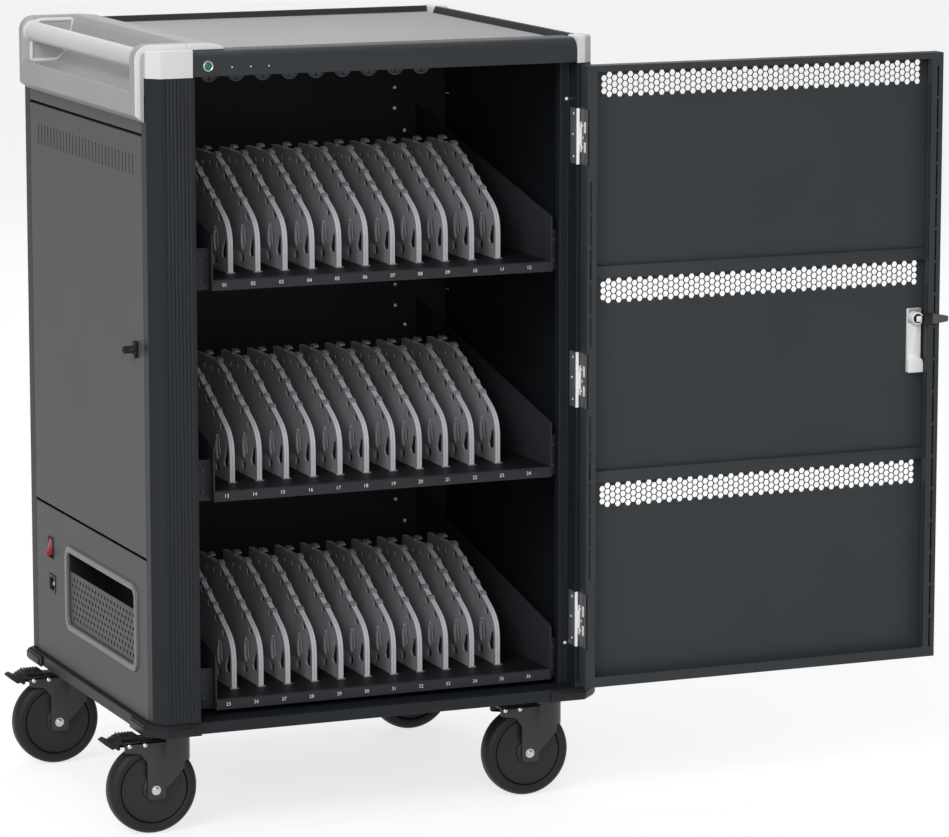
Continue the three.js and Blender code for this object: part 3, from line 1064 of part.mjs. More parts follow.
const tongue = prism('y', tongueBack - TONGUE_THICKNESS, tongueBack, [
  [SPINDLE_U, SPINDLE_Z - TONGUE_HEIGHT / 2], [tongueNeck, SPINDLE_Z - TONGUE_HEIGHT / 2],
  [tongueTip, SPINDLE_Z - TONGUE_TIP / 2], [tongueTip, SPINDLE_Z + TONGUE_TIP / 2],
  [tongueNeck, SPINDLE_Z + TONGUE_HEIGHT / 2], [SPINDLE_U, SPINDLE_Z + TONGUE_HEIGHT / 2],
]);
const leverLow = skinOuter + LEVER_GAP;
const lever = roundedRectangle(SPINDLE_U - LEVER_WIDTH / 2, SPINDLE_U + LEVER_WIDTH / 2,
  SPINDLE_Z + LEVER_WIDTH / 2 - LEVER_LENGTH, SPINDLE_Z + LEVER_WIDTH / 2, LEVER_WIDTH / 3);
place(door, 'lock_cam', joined(
  tongue,
  drum('y', tongueBack - TONGUE_THICKNESS, tongueBack, [SPINDLE_U, SPINDLE_Z], TONGUE_HEIGHT / 2, SPINDLE_SIDES),
  drum('y', tongueBack - TONGUE_THICKNESS / 2, leverLow + OVERCUT, [SPINDLE_U, SPINDLE_Z], SPINDLE_RADIUS,
    SPINDLE_SIDES),
  prism('y', leverLow, leverLow + LEVER_THICKNESS, lever),
), blackPlastic());

// Caster fork: two pressed legs under a crown, with the axle across them and the swivel boss
// and kingpin on top. It is drawn from the kingpin, and the wheel trails towards -X.
const legInner = HUB_LENGTH / 2 + LEG_GAP;
const legOuter = legInner + LEG_THICKNESS;
const crownTop = CROWN_BOTTOM + CROWN_THICKNESS;
const axle = [-TRAIL, WHEEL_RADIUS];
const pedalPivot = [-TRAIL + PEDAL_PIVOT.along, PEDAL_PIVOT.height];
function fork(braked) {
  const legShape = new THREE.Shape();
  legShape.absarc(...axle, LEG_HALF_WIDTH, Math.PI, Math.PI * 2);
  legShape.lineTo(-TRAIL + LEG_WAIST.along, LEG_WAIST.height);
  legShape.lineTo(-TRAIL + CROWN_NOSE, CROWN_BOTTOM);
  legShape.lineTo(-TRAIL + CROWN_NOSE, crownTop);
  legShape.lineTo(-TRAIL - CROWN_EAR, crownTop);
  legShape.lineTo(-TRAIL - CROWN_EAR, LEG_EAR_BOTTOM);
  const pieces = [
    block(-TRAIL - CROWN_EAR, -TRAIL + CROWN_NOSE, -legOuter, legOuter, CROWN_BOTTOM, crownTop),
    prism('y', -legOuter, -legInner, legShape),
    prism('y', legInner, legOuter, legShape),
    drum('y', -legOuter, legOuter, axle, AXLE_RADIUS, 12),
    drum('y', -legOuter - BOLT_LENGTH, -legOuter + OVERCUT, axle, BOLT_RADIUS, 6),
    drum('y', legOuter - OVERCUT, legOuter + BOLT_LENGTH, axle, BOLT_RADIUS, 6),
    drum('z', crownTop - OVERCUT, PLATE_BOTTOM - SEAT, [0, 0], KING_BOSS_RADIUS, 20),
    drum('z', PLATE_BOTTOM - OVERCUT, PLATE_BOTTOM + KINGPIN_DEPTH, [0, 0], KINGPIN_RADIUS, 12),
  ];
  if (braked) {
    const lugInner = PEDAL_WIDTH / 2 + SEAT;
    for (const [low, high] of [[-lugInner - PEDAL_LUG, -lugInner], [lugInner, lugInner + PEDAL_LUG]]) {
      pieces.push(block(pedalPivot[0] - PEDAL_LUG_REACH, pedalPivot[0] + PEDAL_LUG_REACH, low, high,
        crownTop - OVERCUT, pedalPivot[1] + PEDAL_PIN + OVERCUT));
    }
    pieces.push(drum('y', -lugInner - OVERCUT, lugInner + OVERCUT, pedalPivot, PEDAL_PIN, 8));
  }
  return joined(...pieces);
}

// Caster wheel: a tyre on a dished hub, revolved about its axle.
function wheel() {
  const half = TYRE_WIDTH / 2;
  const face = half - HUB_DISH;
  const side = [
    [AXLE_RADIUS + BORE_CLEARANCE, HUB_LENGTH / 2], [HUB_BOSS, HUB_LENGTH / 2], [HUB_BOSS + HUB_DRAFT, face],
    [HUB_RADIUS, face], [HUB_RADIUS + HUB_DRAFT / 2, half], [WHEEL_RADIUS - TYRE_SHOULDER, half],
    [WHEEL_RADIUS, half - TYRE_CROWN],
  ];
  const profile = [...side.map(([radius, y]) => [radius, -y]), ...side.slice().reverse()];
  const points = [...profile, profile[0]].map(([radius, y]) => new THREE.Vector2(radius, y));
  return solidOf(new THREE.LatheGeometry(points, WHEEL_STEPS));
}

// Brake pedal: a cranked tread with a turned-up toe that rocks on a pin in the fork's lugs.
function pedal() {
  const outline = [
    [PEDAL_ARM.root, PEDAL_ARM.top], [PEDAL_HEEL.along, PEDAL_ARM.top], [PEDAL_TREAD.along, PEDAL_TREAD.top],
    [PEDAL_TOE.along, PEDAL_TOE.top], [PEDAL_TOE.along, PEDAL_TOE.bottom], [PEDAL_TREAD.along, PEDAL_TREAD.bottom],
    [PEDAL_HEEL.along, PEDAL_HEEL.bottom], [PEDAL_HEEL.along, PEDAL_ARM.bottom], [PEDAL_ARM.root, PEDAL_ARM.bottom],
  ].map(([x, z]) => [x - TRAIL, z]);
  return cut(prism('y', -PEDAL_WIDTH / 2, PEDAL_WIDTH / 2, outline),
    drum('y', -PEDAL_WIDTH, PEDAL_WIDTH, pedalPivot, PEDAL_PIN + PEDAL_PIN_CLEARANCE, 8));
}

const CORNERS = [
  { name: 'front_left', side: -1, y: KINGPIN_Y[0] },
  { name: 'front_right', side: 1, y: KINGPIN_Y[0] },
  { name: 'rear_left', side: -1, y: KINGPIN_Y[1] },
  { name: 'rear_right', side: 1, y: KINGPIN_Y[1] },
];
for (const { name, side, y } of CORNERS) {
  const caster = new THREE.Group();
  caster.position.set(side * KINGPIN_X, y, 0);
  const braked = side < 0;
  place(caster, `fork_${name}`, fork(braked), darkSteel());
  const rolling = new THREE.Group();
  rolling.position.set(-TRAIL, 0, WHEEL_RADIUS);
  place(rolling, `wheel_${name}`, wheel(), tyreRubber());
  caster.add(rolling);
  if (braked) {
    place(caster, `pedal_${name}`, pedal(), blackPlastic());
  }
  cart.add(caster);
}

// Set the cart on the floor with the middle of its box over the origin.
cart.updateMatrixWorld(true);
const bounds = new THREE.Box3().setFromObject(cart, true);
const middle = bounds.getCenter(new THREE.Vector3());
cart.position.set(-middle.x, -middle.y, -bounds.min.z);

export default cart;
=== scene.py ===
# Laptop charging cart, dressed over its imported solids: paint, mouldings, punched sheet,
# fittings, casters and the small marks on the shelves. Lengths are millimetres on the
# cabinet's own axes, X from its middle, Y from its front face and Z from the floor, and
# each piece is turned to metres in the frame when it is finished.

import math

import bmesh
import bpy
from mathutils import Matrix, Vector


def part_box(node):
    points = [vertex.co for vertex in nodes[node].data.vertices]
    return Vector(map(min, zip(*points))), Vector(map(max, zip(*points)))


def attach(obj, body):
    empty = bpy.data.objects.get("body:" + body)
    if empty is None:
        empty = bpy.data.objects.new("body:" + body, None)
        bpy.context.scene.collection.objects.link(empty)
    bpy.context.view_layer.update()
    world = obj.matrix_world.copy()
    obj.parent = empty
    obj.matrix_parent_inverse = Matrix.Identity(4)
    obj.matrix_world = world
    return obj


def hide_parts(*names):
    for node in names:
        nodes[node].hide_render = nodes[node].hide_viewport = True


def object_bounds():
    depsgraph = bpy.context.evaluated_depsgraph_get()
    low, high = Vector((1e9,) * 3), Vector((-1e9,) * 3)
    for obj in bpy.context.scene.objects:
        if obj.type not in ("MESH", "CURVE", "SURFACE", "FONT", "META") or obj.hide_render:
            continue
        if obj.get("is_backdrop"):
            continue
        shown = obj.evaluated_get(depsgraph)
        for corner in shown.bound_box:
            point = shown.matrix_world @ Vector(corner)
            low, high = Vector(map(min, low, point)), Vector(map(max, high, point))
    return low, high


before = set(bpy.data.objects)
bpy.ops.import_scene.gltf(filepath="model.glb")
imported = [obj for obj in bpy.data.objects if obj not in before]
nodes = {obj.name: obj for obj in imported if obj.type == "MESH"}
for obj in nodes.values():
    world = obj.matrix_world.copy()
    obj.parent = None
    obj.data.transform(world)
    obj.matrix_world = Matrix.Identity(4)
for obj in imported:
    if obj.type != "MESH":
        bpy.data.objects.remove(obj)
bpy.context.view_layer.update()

# Base tray
# A folded steel deck with a lip turned down all round, powder coated charcoal. The pillars
# stand on it and the caster plates are welded underneath.
tray_low, tray_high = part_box("base_tray")
tray_middle = (tray_low.x + tray_high.x) / 2
to_frame = Matrix.Translation((tray_middle, tray_low.y, 0)) @ Matrix.Scale(0.001, 4)


def linear(colour):
    """A screen colour, three numbers to 255, as the shader reads it."""
    parts = [c / 255 for c in colour]
    return [c / 12.92 if c <= 0.04045 else ((c + 0.055) / 1.055) ** 2.4 for c in parts]


def finish(name, colour, uneven, gloss, grain, relief, metallic=0.0, stretch=(1, 1, 1), shine=0.25):
    """A finish with drifting tone, uneven gloss and a fine relief, its grain in marks to the metre."""
    material = bpy.data.materials.new(name)
    material.use_nodes = True
    tree = material.node_tree
    shader = tree.nodes["Principled BSDF"]
    place = tree.nodes.new("ShaderNodeTexCoord")
    turn = tree.nodes.new("ShaderNodeMapping")
    turn.inputs["Scale"].default_value = stretch
    tree.links.new(place.outputs["Object"], turn.inputs["Vector"])
    drift = tree.nodes.new("ShaderNodeTexNoise")
    drift.inputs["Scale"].default_value = 7
    drift.inputs["Detail"].default_value = 3
    tree.links.new(turn.outputs["Vector"], drift.inputs["Vector"])
    tone = tree.nodes.new("ShaderNodeValToRGB")
    base = linear(colour)
    tone.color_ramp.elements[0].position = 0.32
    tone.color_ramp.elements[0].color = [c * (1 - uneven) for c in base] + [1]
    tone.color_ramp.elements[1].position = 0.68
    tone.color_ramp.elements[1].color = [min(1, c * (1 + uneven)) for c in base] + [1]
    tree.links.new(drift.outputs["Fac"], tone.inputs["Fac"])
    tree.links.new(tone.outputs["Color"], shader.inputs["Base Color"])
    fine = tree.nodes.new("ShaderNodeTexNoise")
    fine.inputs["Scale"].default_value = grain
    fine.inputs["Detail"].default_value = 2
    tree.links.new(turn.outputs["Vector"], fine.inputs["Vector"])
    sheen = tree.nodes.new("ShaderNodeMapRange")
    sheen.inputs["To Min"].default_value = gloss - 0.07
    sheen.inputs["To Max"].default_value = gloss + 0.07
    tree.links.new(fine.outputs["Fac"], sheen.inputs["Value"])
    tree.links.new(sheen.outputs["Result"], shader.inputs["Roughness"])
    bump = tree.nodes.new("ShaderNodeBump")
    bump.inputs["Strength"].default_value = 0.35
    bump.inputs["Distance"].default_value = relief / 1000
    tree.links.new(fine.outputs["Fac"], bump.inputs["Height"])
    tree.links.new(bump.outputs["Normal"], shader.inputs["Normal"])
    shader.inputs["Metallic"].default_value = metallic
    shader.inputs["Specular IOR Level"].default_value = shine
    return material


def dressed(name, material, width=0.8):
    """A solid kept from the frame, with its finish and the sharpness taken off its folded edges."""
    kept = nodes[name]
    kept.data.materials.clear()
    kept.data.materials.append(material)
    skin = kept.modifiers.new("one skin", "WELD")
    skin.merge_threshold = 0.00002
    flat = kept.modifiers.new("flat faces", "DECIMATE")
    flat.decimate_type = "DISSOLVE"
    flat.angle_limit = math.radians(1)
    edge = kept.modifiers.new("eased edges", "BEVEL")
    edge.width = width / 1000
    edge.segments = 2
    edge.limit_method = "ANGLE"
    edge.angle_limit = math.radians(28)


post_paint = finish("post_paint", (29, 33, 37), 0.05, 0.47, 900, 0.12)
dressed("base_tray", post_paint, 1.4)

# Corner bumpers
# Black rubber strips pushed over the tray's chamfered corners, each a thin flange with a raised
# rib along it, that take the knocks before the steel does.
CABINET_DEPTH = 562
TRAY_SIDE = 325.3
TRAY_CHAMFER = 22
BUMPER_REACH = 71
BUMPER_SIDE_REACH = 82.7
BUMPER_GAP = 0.3
# The flange and the rib: how far the ends are drawn in, the thickness, the foot and the top.
BUMPER_LAYERS = ((0, 3, 143.6, 159.6), (7, 4.8, 146.4, 156.8))
DIAGONAL = math.sqrt(2) - 1
# How an outline drawn flat is laid so that its depth runs along each axis.
LAY = {
    "x": Matrix(((0, 0, 1, 0), (1, 0, 0, 0), (0, 1, 0, 0), (0, 0, 0, 1))),
    "y": Matrix(((1, 0, 0, 0), (0, 0, 1, 0), (0, 1, 0, 0), (0, 0, 0, 1))),
    "z": Matrix.Identity(4),
}


def ease(parts, width, segments=2, sharper=28):
    """Rounds every edge of a drawn shape that turns by more than a slight angle."""
    parts.normal_update()
    limit = math.radians(sharper)
    edges = [e for e in parts.edges if len(e.link_faces) == 2 and e.calc_face_angle() > limit]
    bmesh.ops.bevel(parts, geom=edges, offset=width, offset_type="OFFSET", segments=segments,
                    profile=0.5, affect="EDGES", clamp_overlap=True, material=-1)
    return parts


def pressed(axis, low, high, outline, holes=(), edge=0.0, segments=2):
    """An outline with its holes, extruded from low to high along an axis, with rounded edges."""
    parts = bmesh.new()
    for loop in (outline, *holes):
        ring = [parts.verts.new((u, v, low)) for u, v in loop]
        for here, there in zip(ring, ring[1:] + ring[:1]):
            parts.edges.new((here, there))
    bmesh.ops.triangle_fill(parts, use_beauty=True, use_dissolve=False, edges=parts.edges[:])
    bmesh.ops.dissolve_limit(parts, angle_limit=0.01, verts=parts.verts[:], edges=parts.edges[:])
    raised = bmesh.ops.extrude_face_region(parts, geom=parts.faces[:])
    lifted = [v for v in raised["geom"] if isinstance(v, bmesh.types.BMVert)]
    bmesh.ops.translate(parts, verts=lifted, vec=(0, 0, high - low))
    parts.transform(LAY[axis])
    bmesh.ops.recalc_face_normals(parts, faces=parts.faces[:])
    return ease(parts, edge, segments) if edge else parts


def together(*shapes):
    """Shapes drawn one by one, as one mesh."""
    whole = bmesh.new()
    for shape in shapes:
        drawn = bpy.data.meshes.new("drawn")
        shape.to_mesh(drawn)
        shape.free()
        whole.from_mesh(drawn)
        bpy.data.meshes.remove(drawn)
    return whole


def made(name, body, material, shape, stands_for=(), smooth=32):
    """A finished piece: in the frame, in metres, on its body and with its finish."""
    shape.transform(to_frame)
    bmesh.ops.recalc_face_normals(shape, faces=shape.faces[:])
    for face in shape.faces:
        face.smooth = True
    mesh = bpy.data.meshes.new(name)
    shape.to_mesh(mesh)
    shape.free()
    mesh.set_sharp_from_angle(angle=math.radians(smooth))
    mesh.materials.append(material)
    piece = bpy.data.objects.new(name, mesh)
    bpy.context.scene.collection.objects.link(piece)
    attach(piece, body)
    if stands_for:
        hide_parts(*stands_for)
    return piece


def bumper_line(offset, short):
    """The line of a bumper at a distance out from the tray, with its two ends drawn in."""
    return [
        (TRAY_SIDE - BUMPER_REACH + short, -offset),
        (TRAY_SIDE - TRAY_CHAMFER + offset * DIAGONAL, -offset),
        (TRAY_SIDE + offset, TRAY_CHAMFER - offset * DIAGONAL),
        (TRAY_SIDE + offset, BUMPER_SIDE_REACH - short),
    ]


black_plastic = finish("black_plastic", (30, 31, 33), 0.08, 0.42, 1400, 0.1)
for end in ("front", "rear"):
    for side in ("left", "right"):
        strips = []
        for short, thickness, low, high in BUMPER_LAYERS:
            line = bumper_line(BUMPER_GAP, short) + bumper_line(thickness, short)[::-1]
            if side == "left":
                line = [(-x, y) for x, y in line]
            if end == "rear":
                line = [(x, CABINET_DEPTH - y) for x, y in line]
            strips.append(pressed("z", low, high, line, edge=1.3, segments=3))
        made(f"bumper_strip_{end}_{side}", "cabinet", black_plastic, together(*strips),
             [f"bumper_{end}_{side}"])

# Pillars
# Roll-formed steel corner posts, the front left one fluted and slotted for the door's tongue,
# the front right one rebated for the hinges.
for name in ("pillar_front_left", "pillar_front_right", "pillar_rear_left", "pillar_rear_right"):
    dressed(name, post_paint, 0.7)

# Outer panels
# Flat steel sheets in a mid grey powder coat: the right and rear walls, the service panel low
# on the left and the strip that carries the handle above the side door.
side_paint = finish("side_paint", (86, 86, 86), 0.04, 0.5, 900, 0.12)
for name in ("right_panel", "rear_panel", "service_panel", "left_top_rail"):
    dressed(name, side_paint, 0.6)

# Inner walls
# The partition before the charging gear and the back wall of the rack bay, in near-black steel, and a thin
# charcoal sheet on the bay's right whose dark colour paints the shade inside the bay.
LINING_FACE = 313.4
LINING_BACK = 315
# A near-black finish: the steel of the inner walls, and painted shade on the shelf floors, the dividers'
# inner sheets and two holes in the tray's lip.
black_paint = finish("black_paint", (20, 21, 23), 0.08, 0.55, 900, 0.12)
dressed("left_partition", black_paint, 0.5)
dressed("back_wall", black_paint, 0.5)


def block(x0, x1, y0, y1, z0, z1, edge=0.0, segments=2):
    """A box between two corners, with rounded edges."""
    parts = bmesh.new()
    size = Matrix.Diagonal((x1 - x0, y1 - y0, z1 - z0, 1))
    middle = Matrix.Translation(((x0 + x1) / 2, (y0 + y1) / 2, (z0 + z1) / 2))
    bmesh.ops.create_cube(parts, size=1, matrix=middle @ size)
    return ease(parts, edge, segments) if edge else parts


# A charcoal sheet over the inside of the right panel, painting the shade inside the bay.
lining = block(LINING_FACE, LINING_BACK, 36, 524, 165, 1022)
made("right_shade_lining", "cabinet", post_paint, lining)

# Lead grommets
# Moulded rings in the back wall, each closed by flaps round a cross slit, where a charging
# lead comes through from behind.
GROMMET_COUNT = 12
GROMMET_FIRST = -172.6
GROMMET_PITCH = 40.73
GROMMET_HEIGHT = 977
GROMMET_REAR = 526.6
GROMMET_RING = ((11, 0), (13.4, 0), (13.8, -1.2), (13, -2.4), (11.8, -2.4), (11, -1.2))
FLAP = ((1.1, 1.1), (10.6, 1.1), (7.4, 7.4), (1.1, 10.6))
# How a shape turned on an upright axis is tipped on to each axis.
TURN = {
    "x": Matrix.Rotation(math.radians(90), 4, "Y"),
    "y": Matrix.Rotation(math.radians(-90), 4, "X"),
    "z": Matrix.Identity(4),
}


def turned(axis, centre, profile, steps=32, closed=False):
    """A profile of radius and distance along the axis, turned full round."""
    parts = bmesh.new()
    line = [parts.verts.new((radius, 0, along)) for radius, along in profile]
    edges = [parts.edges.new(pair) for pair in zip(line, line[1:])]
    if closed:
        edges.append(parts.edges.new((line[-1], line[0])))
    bmesh.ops.spin(parts, geom=line + edges, cent=(0, 0, 0), axis=(0, 0, 1), angle=math.tau,
                   steps=steps, use_merge=True, use_duplicate=False)
    bmesh.ops.remove_doubles(parts, verts=parts.verts[:], dist=0.0005)
    bmesh.ops.recalc_face_normals(parts, faces=parts.faces[:])
    parts.transform(Matrix.Translation(centre) @ TURN[axis])
    return parts


def placed(points, u, v, degrees):
    """An outline drawn about its origin, turned and then moved to a place."""
    turn = math.radians(degrees)
    return [(u + s * math.cos(turn) - n * math.sin(turn), v + s * math.sin(turn) + n * math.cos(turn))
            for s, n in points]


grommet_plastic = finish("grommet_plastic", (165, 166, 170), 0.06, 0.45, 1200, 0.1)
grommets = []
for lead in range(GROMMET_COUNT):
    x = GROMMET_FIRST + lead * GROMMET_PITCH
    grommets.append(turned("y", (x, GROMMET_REAR, GROMMET_HEIGHT), GROMMET_RING, 20, closed=True))
    for degrees in (0, 90, 180, 270):
        flap = placed(FLAP, x, GROMMET_HEIGHT, degrees)
        grommets.append(pressed("y", GROMMET_REAR - 1, GROMMET_REAR, flap))
made("lead_grommets", "cabinet", grommet_plastic, together(*grommets))

# Wall screws
# Bright pan-head screws that hold the shelf runners, in rows down the back wall, the fixings in
# the right pillar's return, and small pairs along the rear of the lining.
WALL_FACE = 528
WALL_SCREWS = ((234.8, 945), (234.7, 915), (250, 882), (235, 657), (235, 626), (250, 597),
               (234.5, 338), (249, 305))
RETURN_FACE = 30
RETURN_SCREWS = ((288.4, 973.2), (288.4, 218.7))
LINING_SCREWS = ((514, 935), (522, 935), (514, 647), (522, 647))


def screw(axis, x, y, z, radius, height):
    """A domed screw head whose face points down the axis, with a driver slot across it."""
    dome = [(0, -height), (radius * 0.55, -height * 0.92), (radius * 0.88, -height * 0.6),
            (radius, 0), (0, 0)]
    reach = radius * 0.7
    slot = {
        "x": (x - height - 0.05, x - height + 0.5, y - reach, y + reach, z - 0.35, z + 0.35),
        "y": (x - reach, x + reach, y - height - 0.05, y - height + 0.5, z - 0.35, z + 0.35),
    }[axis]
    return together(turned(axis, (x, y, z), dome, 14), block(*slot))


light_steel = finish("light_steel", (252, 252, 252), 0.01, 0.4, 700, 0.04, stretch=(1, 1, 5))
screws = [screw("y", x, WALL_FACE, z, 2.6, 1.4) for x, z in WALL_SCREWS]
screws += [screw("y", x, RETURN_FACE, z, 2.3, 1.4) for x, z in RETURN_SCREWS]
screws += [screw("x", LINING_FACE, y, z, 1.2, 0.5) for y, z in LINING_SCREWS]
made("wall_screws", "cabinet", light_steel, together(*screws))

# Rear panel screws
# Low black heads in two columns down the rear panel and at the middle of its top and foot,
# which hold the panel on.
REAR_COLUMN = 250
REAR_ROWS = (180, 390, 595, 800, 1008)
REAR_HEAD = ((0, 1.6), (2.4, 1.4), (3.8, 0.7), (4.2, 0), (0, 0))
rear_places = [(x, z) for x in (-REAR_COLUMN, REAR_COLUMN) for z in REAR_ROWS]
rear_places += [(0, REAR_ROWS[0]), (0, REAR_ROWS[-1])]
rear_heads = [turned("y", (x, CABINET_DEPTH, z), REAR_HEAD, 16) for x, z in rear_places]
made("rear_screws", "cabinet", black_plastic, together(*rear_heads))

# Tray holes
# Two small slotted heads on the left lip of the tray, below the service panel, in a near-black that paints
# the shade of two small holes there.
lip_hole_shades = [screw("x", -TRAY_SIDE, y, 151, 1.9, 0.4) for y in (168, 399)]
made("tray_hole_shades", "cabinet", black_paint, together(*lip_hole_shades))

# Side door
# A shallow steel pan with thirty vent slots along its top, hung at its rear edge in the left
# side.
dressed("side_door", side_paint, 0.6)

# Side lock and key
# A black cam lock in the side door: a winged collar on the face and a short round key stub
# that stands out of it, bored at its end.
CABINET_SIDE = 317.5
KEY_Y = 62
KEY_Z = 661
KEY_STUB = ((0, -333.5), (2.2, -333.5), (2.4, -337.2), (3, -337.8), (4.4, -337.6), (5, -336.8),
            (5, -326), (5.6, -324.4), (5.6, -322), (5, -318), (5, -300), (0, -300))
COLLAR_HALF_WIDTH = 6
COLLAR_HALF_HEIGHT = 11.5
COLLAR_WAIST = 4.6
COLLAR_REACH = 6.3


def filleted(corners, steps=6):
    """An outline through corners of place and radius, with each corner rounded."""
    line = []
    for index, (u, v, radius) in enumerate(corners):
        here = Vector((u, v))
        if radius == 0:
            line.append((u, v))
            continue
        before = (Vector(corners[index - 1][:2]) - here).normalized()
        after = (Vector(corners[(index + 1) % len(corners)][:2]) - here).normalized()
        half = before.angle(after) / 2
        centre = here + (before + after).normalized() * (radius / math.sin(half))
        start = here + before * (radius / math.tan(half)) - centre
        sweep = start.angle_signed(here + after * (radius / math.tan(half)) - centre)
        for step in range(steps + 1):
            turn = -sweep * step / steps
            line.append((centre.x + start.x * math.cos(turn) - start.y * math.sin(turn),
                         centre.y + start.x * math.sin(turn) + start.y * math.cos(turn)))
    return line


collar = filleted([
    (KEY_Y - COLLAR_HALF_WIDTH, KEY_Z - COLLAR_HALF_HEIGHT, 4),
    (KEY_Y + COLLAR_HALF_WIDTH, KEY_Z - COLLAR_HALF_HEIGHT, 4),
    (KEY_Y + COLLAR_WAIST, KEY_Z, 3),
    (KEY_Y + COLLAR_HALF_WIDTH, KEY_Z + COLLAR_HALF_HEIGHT, 4),
    (KEY_Y - COLLAR_HALF_WIDTH, KEY_Z + COLLAR_HALF_HEIGHT, 4),
    (KEY_Y - COLLAR_WAIST, KEY_Z, 3),
])
made("side_lock_key", "side_lock", black_plastic, together(
    turned("x", (0, KEY_Y, KEY_Z), KEY_STUB, 24),
    pressed("x", -CABINET_SIDE - COLLAR_REACH, -CABINET_SIDE - 0.3, collar, edge=1.6, segments=3)),
    ["side_key"])

# Rocker switch
# A dished mains rocker of red plastic in a black snap-in frame, let into the service panel and
# standing with its lower end out.
ROCKER_X = -315.5
ROCKER_Y = 456
ROCKER_Z = 321
ROCKER_LEAN = 8
ROCKER_SIDE = ((-4.6, 12.5), (-4.2, 6), (-4.4, 0), (-5.8, -6), (-8.2, -12.5), (3, -7.5), (3, 7.5))


def rectangle(u0, u1, v0, v1, radius=0, steps=6):
    """The outline of a rectangle, with its corners rounded to a radius."""
    return filleted([(u0, v0, radius), (u1, v0, radius), (u1, v1, radius), (u0, v1, radius)], steps)


red_plastic = finish("red_plastic", (150, 34, 30), 0.06, 0.3, 900, 0.05)
rocker = pressed("y", ROCKER_Y - 9, ROCKER_Y + 9, ROCKER_SIDE, edge=0.7)
lean = Matrix.Rotation(math.radians(ROCKER_LEAN), 4, "Y")
rocker.transform(Matrix.Translation((ROCKER_X, 0, ROCKER_Z)) @ lean)
made("rocker_cap", "rocker", red_plastic, rocker, ["rocker_switch"])
frame_outer = rectangle(ROCKER_Y - 11, ROCKER_Y + 11, ROCKER_Z - 15.5, ROCKER_Z + 15.5, 2, 3)
frame_inner = rectangle(ROCKER_Y - 9.4, ROCKER_Y + 9.4, ROCKER_Z - 14, ROCKER_Z + 14)
made("rocker_frame", "cabinet", black_plastic,
     pressed("x", -CABINET_SIDE - 1.5, -CABINET_SIDE, frame_outer, [frame_inner], 0.4))

# Power inlet
# A black moulded mains inlet let into the service panel, with three flat steel blades inside
# its shroud.
INLET_Y = 452
INLET_Z = 270
INLET_BOX = (INLET_Y - 14.7, INLET_Y + 14.7, INLET_Z - 12.7, INLET_Z + 12.7)
INLET_FLOOR = -304
inlet_well = filleted([
    (INLET_Y - 10.7, INLET_Z - 8.7, 2), (INLET_Y + 10.7, INLET_Z - 8.7, 2),
    (INLET_Y + 10.7, INLET_Z + 4, 4), (INLET_Y + 6, INLET_Z + 8.7, 4),
    (INLET_Y - 6, INLET_Z + 8.7, 4), (INLET_Y - 10.7, INLET_Z + 4, 4),
], 2)
made("inlet_shroud", "cabinet", black_plastic, together(
    pressed("x", -CABINET_SIDE - 1, INLET_FLOOR, rectangle(*INLET_BOX, 2, 3), [inlet_well], 0.6),
    block(INLET_FLOOR, -290.5, *INLET_BOX, 1)), ["power_inlet"])
blades = []
for y, z in ((INLET_Y - 7, INLET_Z - 2), (INLET_Y + 7, INLET_Z - 2), (INLET_Y, INLET_Z + 2)):
    blades.append(block(INLET_FLOOR - 10.5, INLET_FLOOR + 0.5, y - 1, y + 1, z - 2.5, z + 2.5, 0.3))
made("inlet_blades", "cabinet", light_steel, together(*blades))

# Cord pocket
# A pressed bezel round the pocket's mouth, with a rolled rim, and a perforated steel plate
# across the lower part that keeps coiled leads in.
POCKET_MOUTH = (84, 377, 228, 329)
POCKET_RIM = (73, 388, 217, 340)
GRILLE = (84.3, 376.7, 228.3, 302.3)
GRILLE_ROWS = 7
GRILLE_COLUMNS = 20
HOLE_FIRST_Y = 97
HOLE_FIRST_Z = 238
HOLE_PITCH = 13.6
HOLE_ROW_PITCH = 9.2
HOLE_RADIUS = 3


def disc(u, v, radius, steps):
    """The points of a circle, or of a hexagon where it has six."""
    angles = [step * math.tau / steps for step in range(steps)]
    return [(u + radius * math.cos(angle), v + radius * math.sin(angle)) for angle in angles]


rim_paint = finish("rim_paint", (92, 92, 92), 0.03, 0.3, 900, 0.06, shine=0.6)
dark_steel = finish("dark_steel", (62, 64, 66), 0.06, 0.42, 800, 0.06, metallic=0.2)
dressed("cord_pocket", black_plastic, 0.6)
rim_outer = rectangle(*POCKET_RIM, 20)
rim_inner = rectangle(*POCKET_MOUTH, 10)
made("pocket_rim", "cabinet", rim_paint,
     pressed("x", -CABINET_SIDE - 2.8, -CABINET_SIDE + 3, rim_outer, [rim_inner], 2.4, 4), ["pocket_bezel"])
holes = []
for row in range(GRILLE_ROWS):
    first = HOLE_FIRST_Y + (HOLE_PITCH / 2 if row % 2 else 0)
    z = HOLE_FIRST_Z + row * HOLE_ROW_PITCH
    holes += [disc(first + column * HOLE_PITCH, z, HOLE_RADIUS, 8) for column in range(GRILLE_COLUMNS)]
made("pocket_grille", "cabinet", dark_steel,
     pressed("x", -CABINET_SIDE + 1.3, -CABINET_SIDE + 2.8, rectangle(*GRILLE), holes), ["pocket_plate"])

# Handle housing
# A long grey moulding on the left edge of the top: an apron outside, a finger trough with a
# leaning wall, and a broad shoulder on the board beside the mat, closed by a cheek at each end.
HOUSING_SIDE = -331
HOUSING_FRONT = 20
HOUSING_REAR = 527
HOUSING_TOP = 1067.5
FRONT_CHEEK = 41
REAR_CHEEK = 514
APRON_EDGE = 975
APRON_FOOT = 966
APRON_INSIDE = -318.1
TROUGH_EDGE = -252
SHOULDER_FOOT = 1049.3
HEADER_LID = 1058.4
HEADER_REAR = 50.4


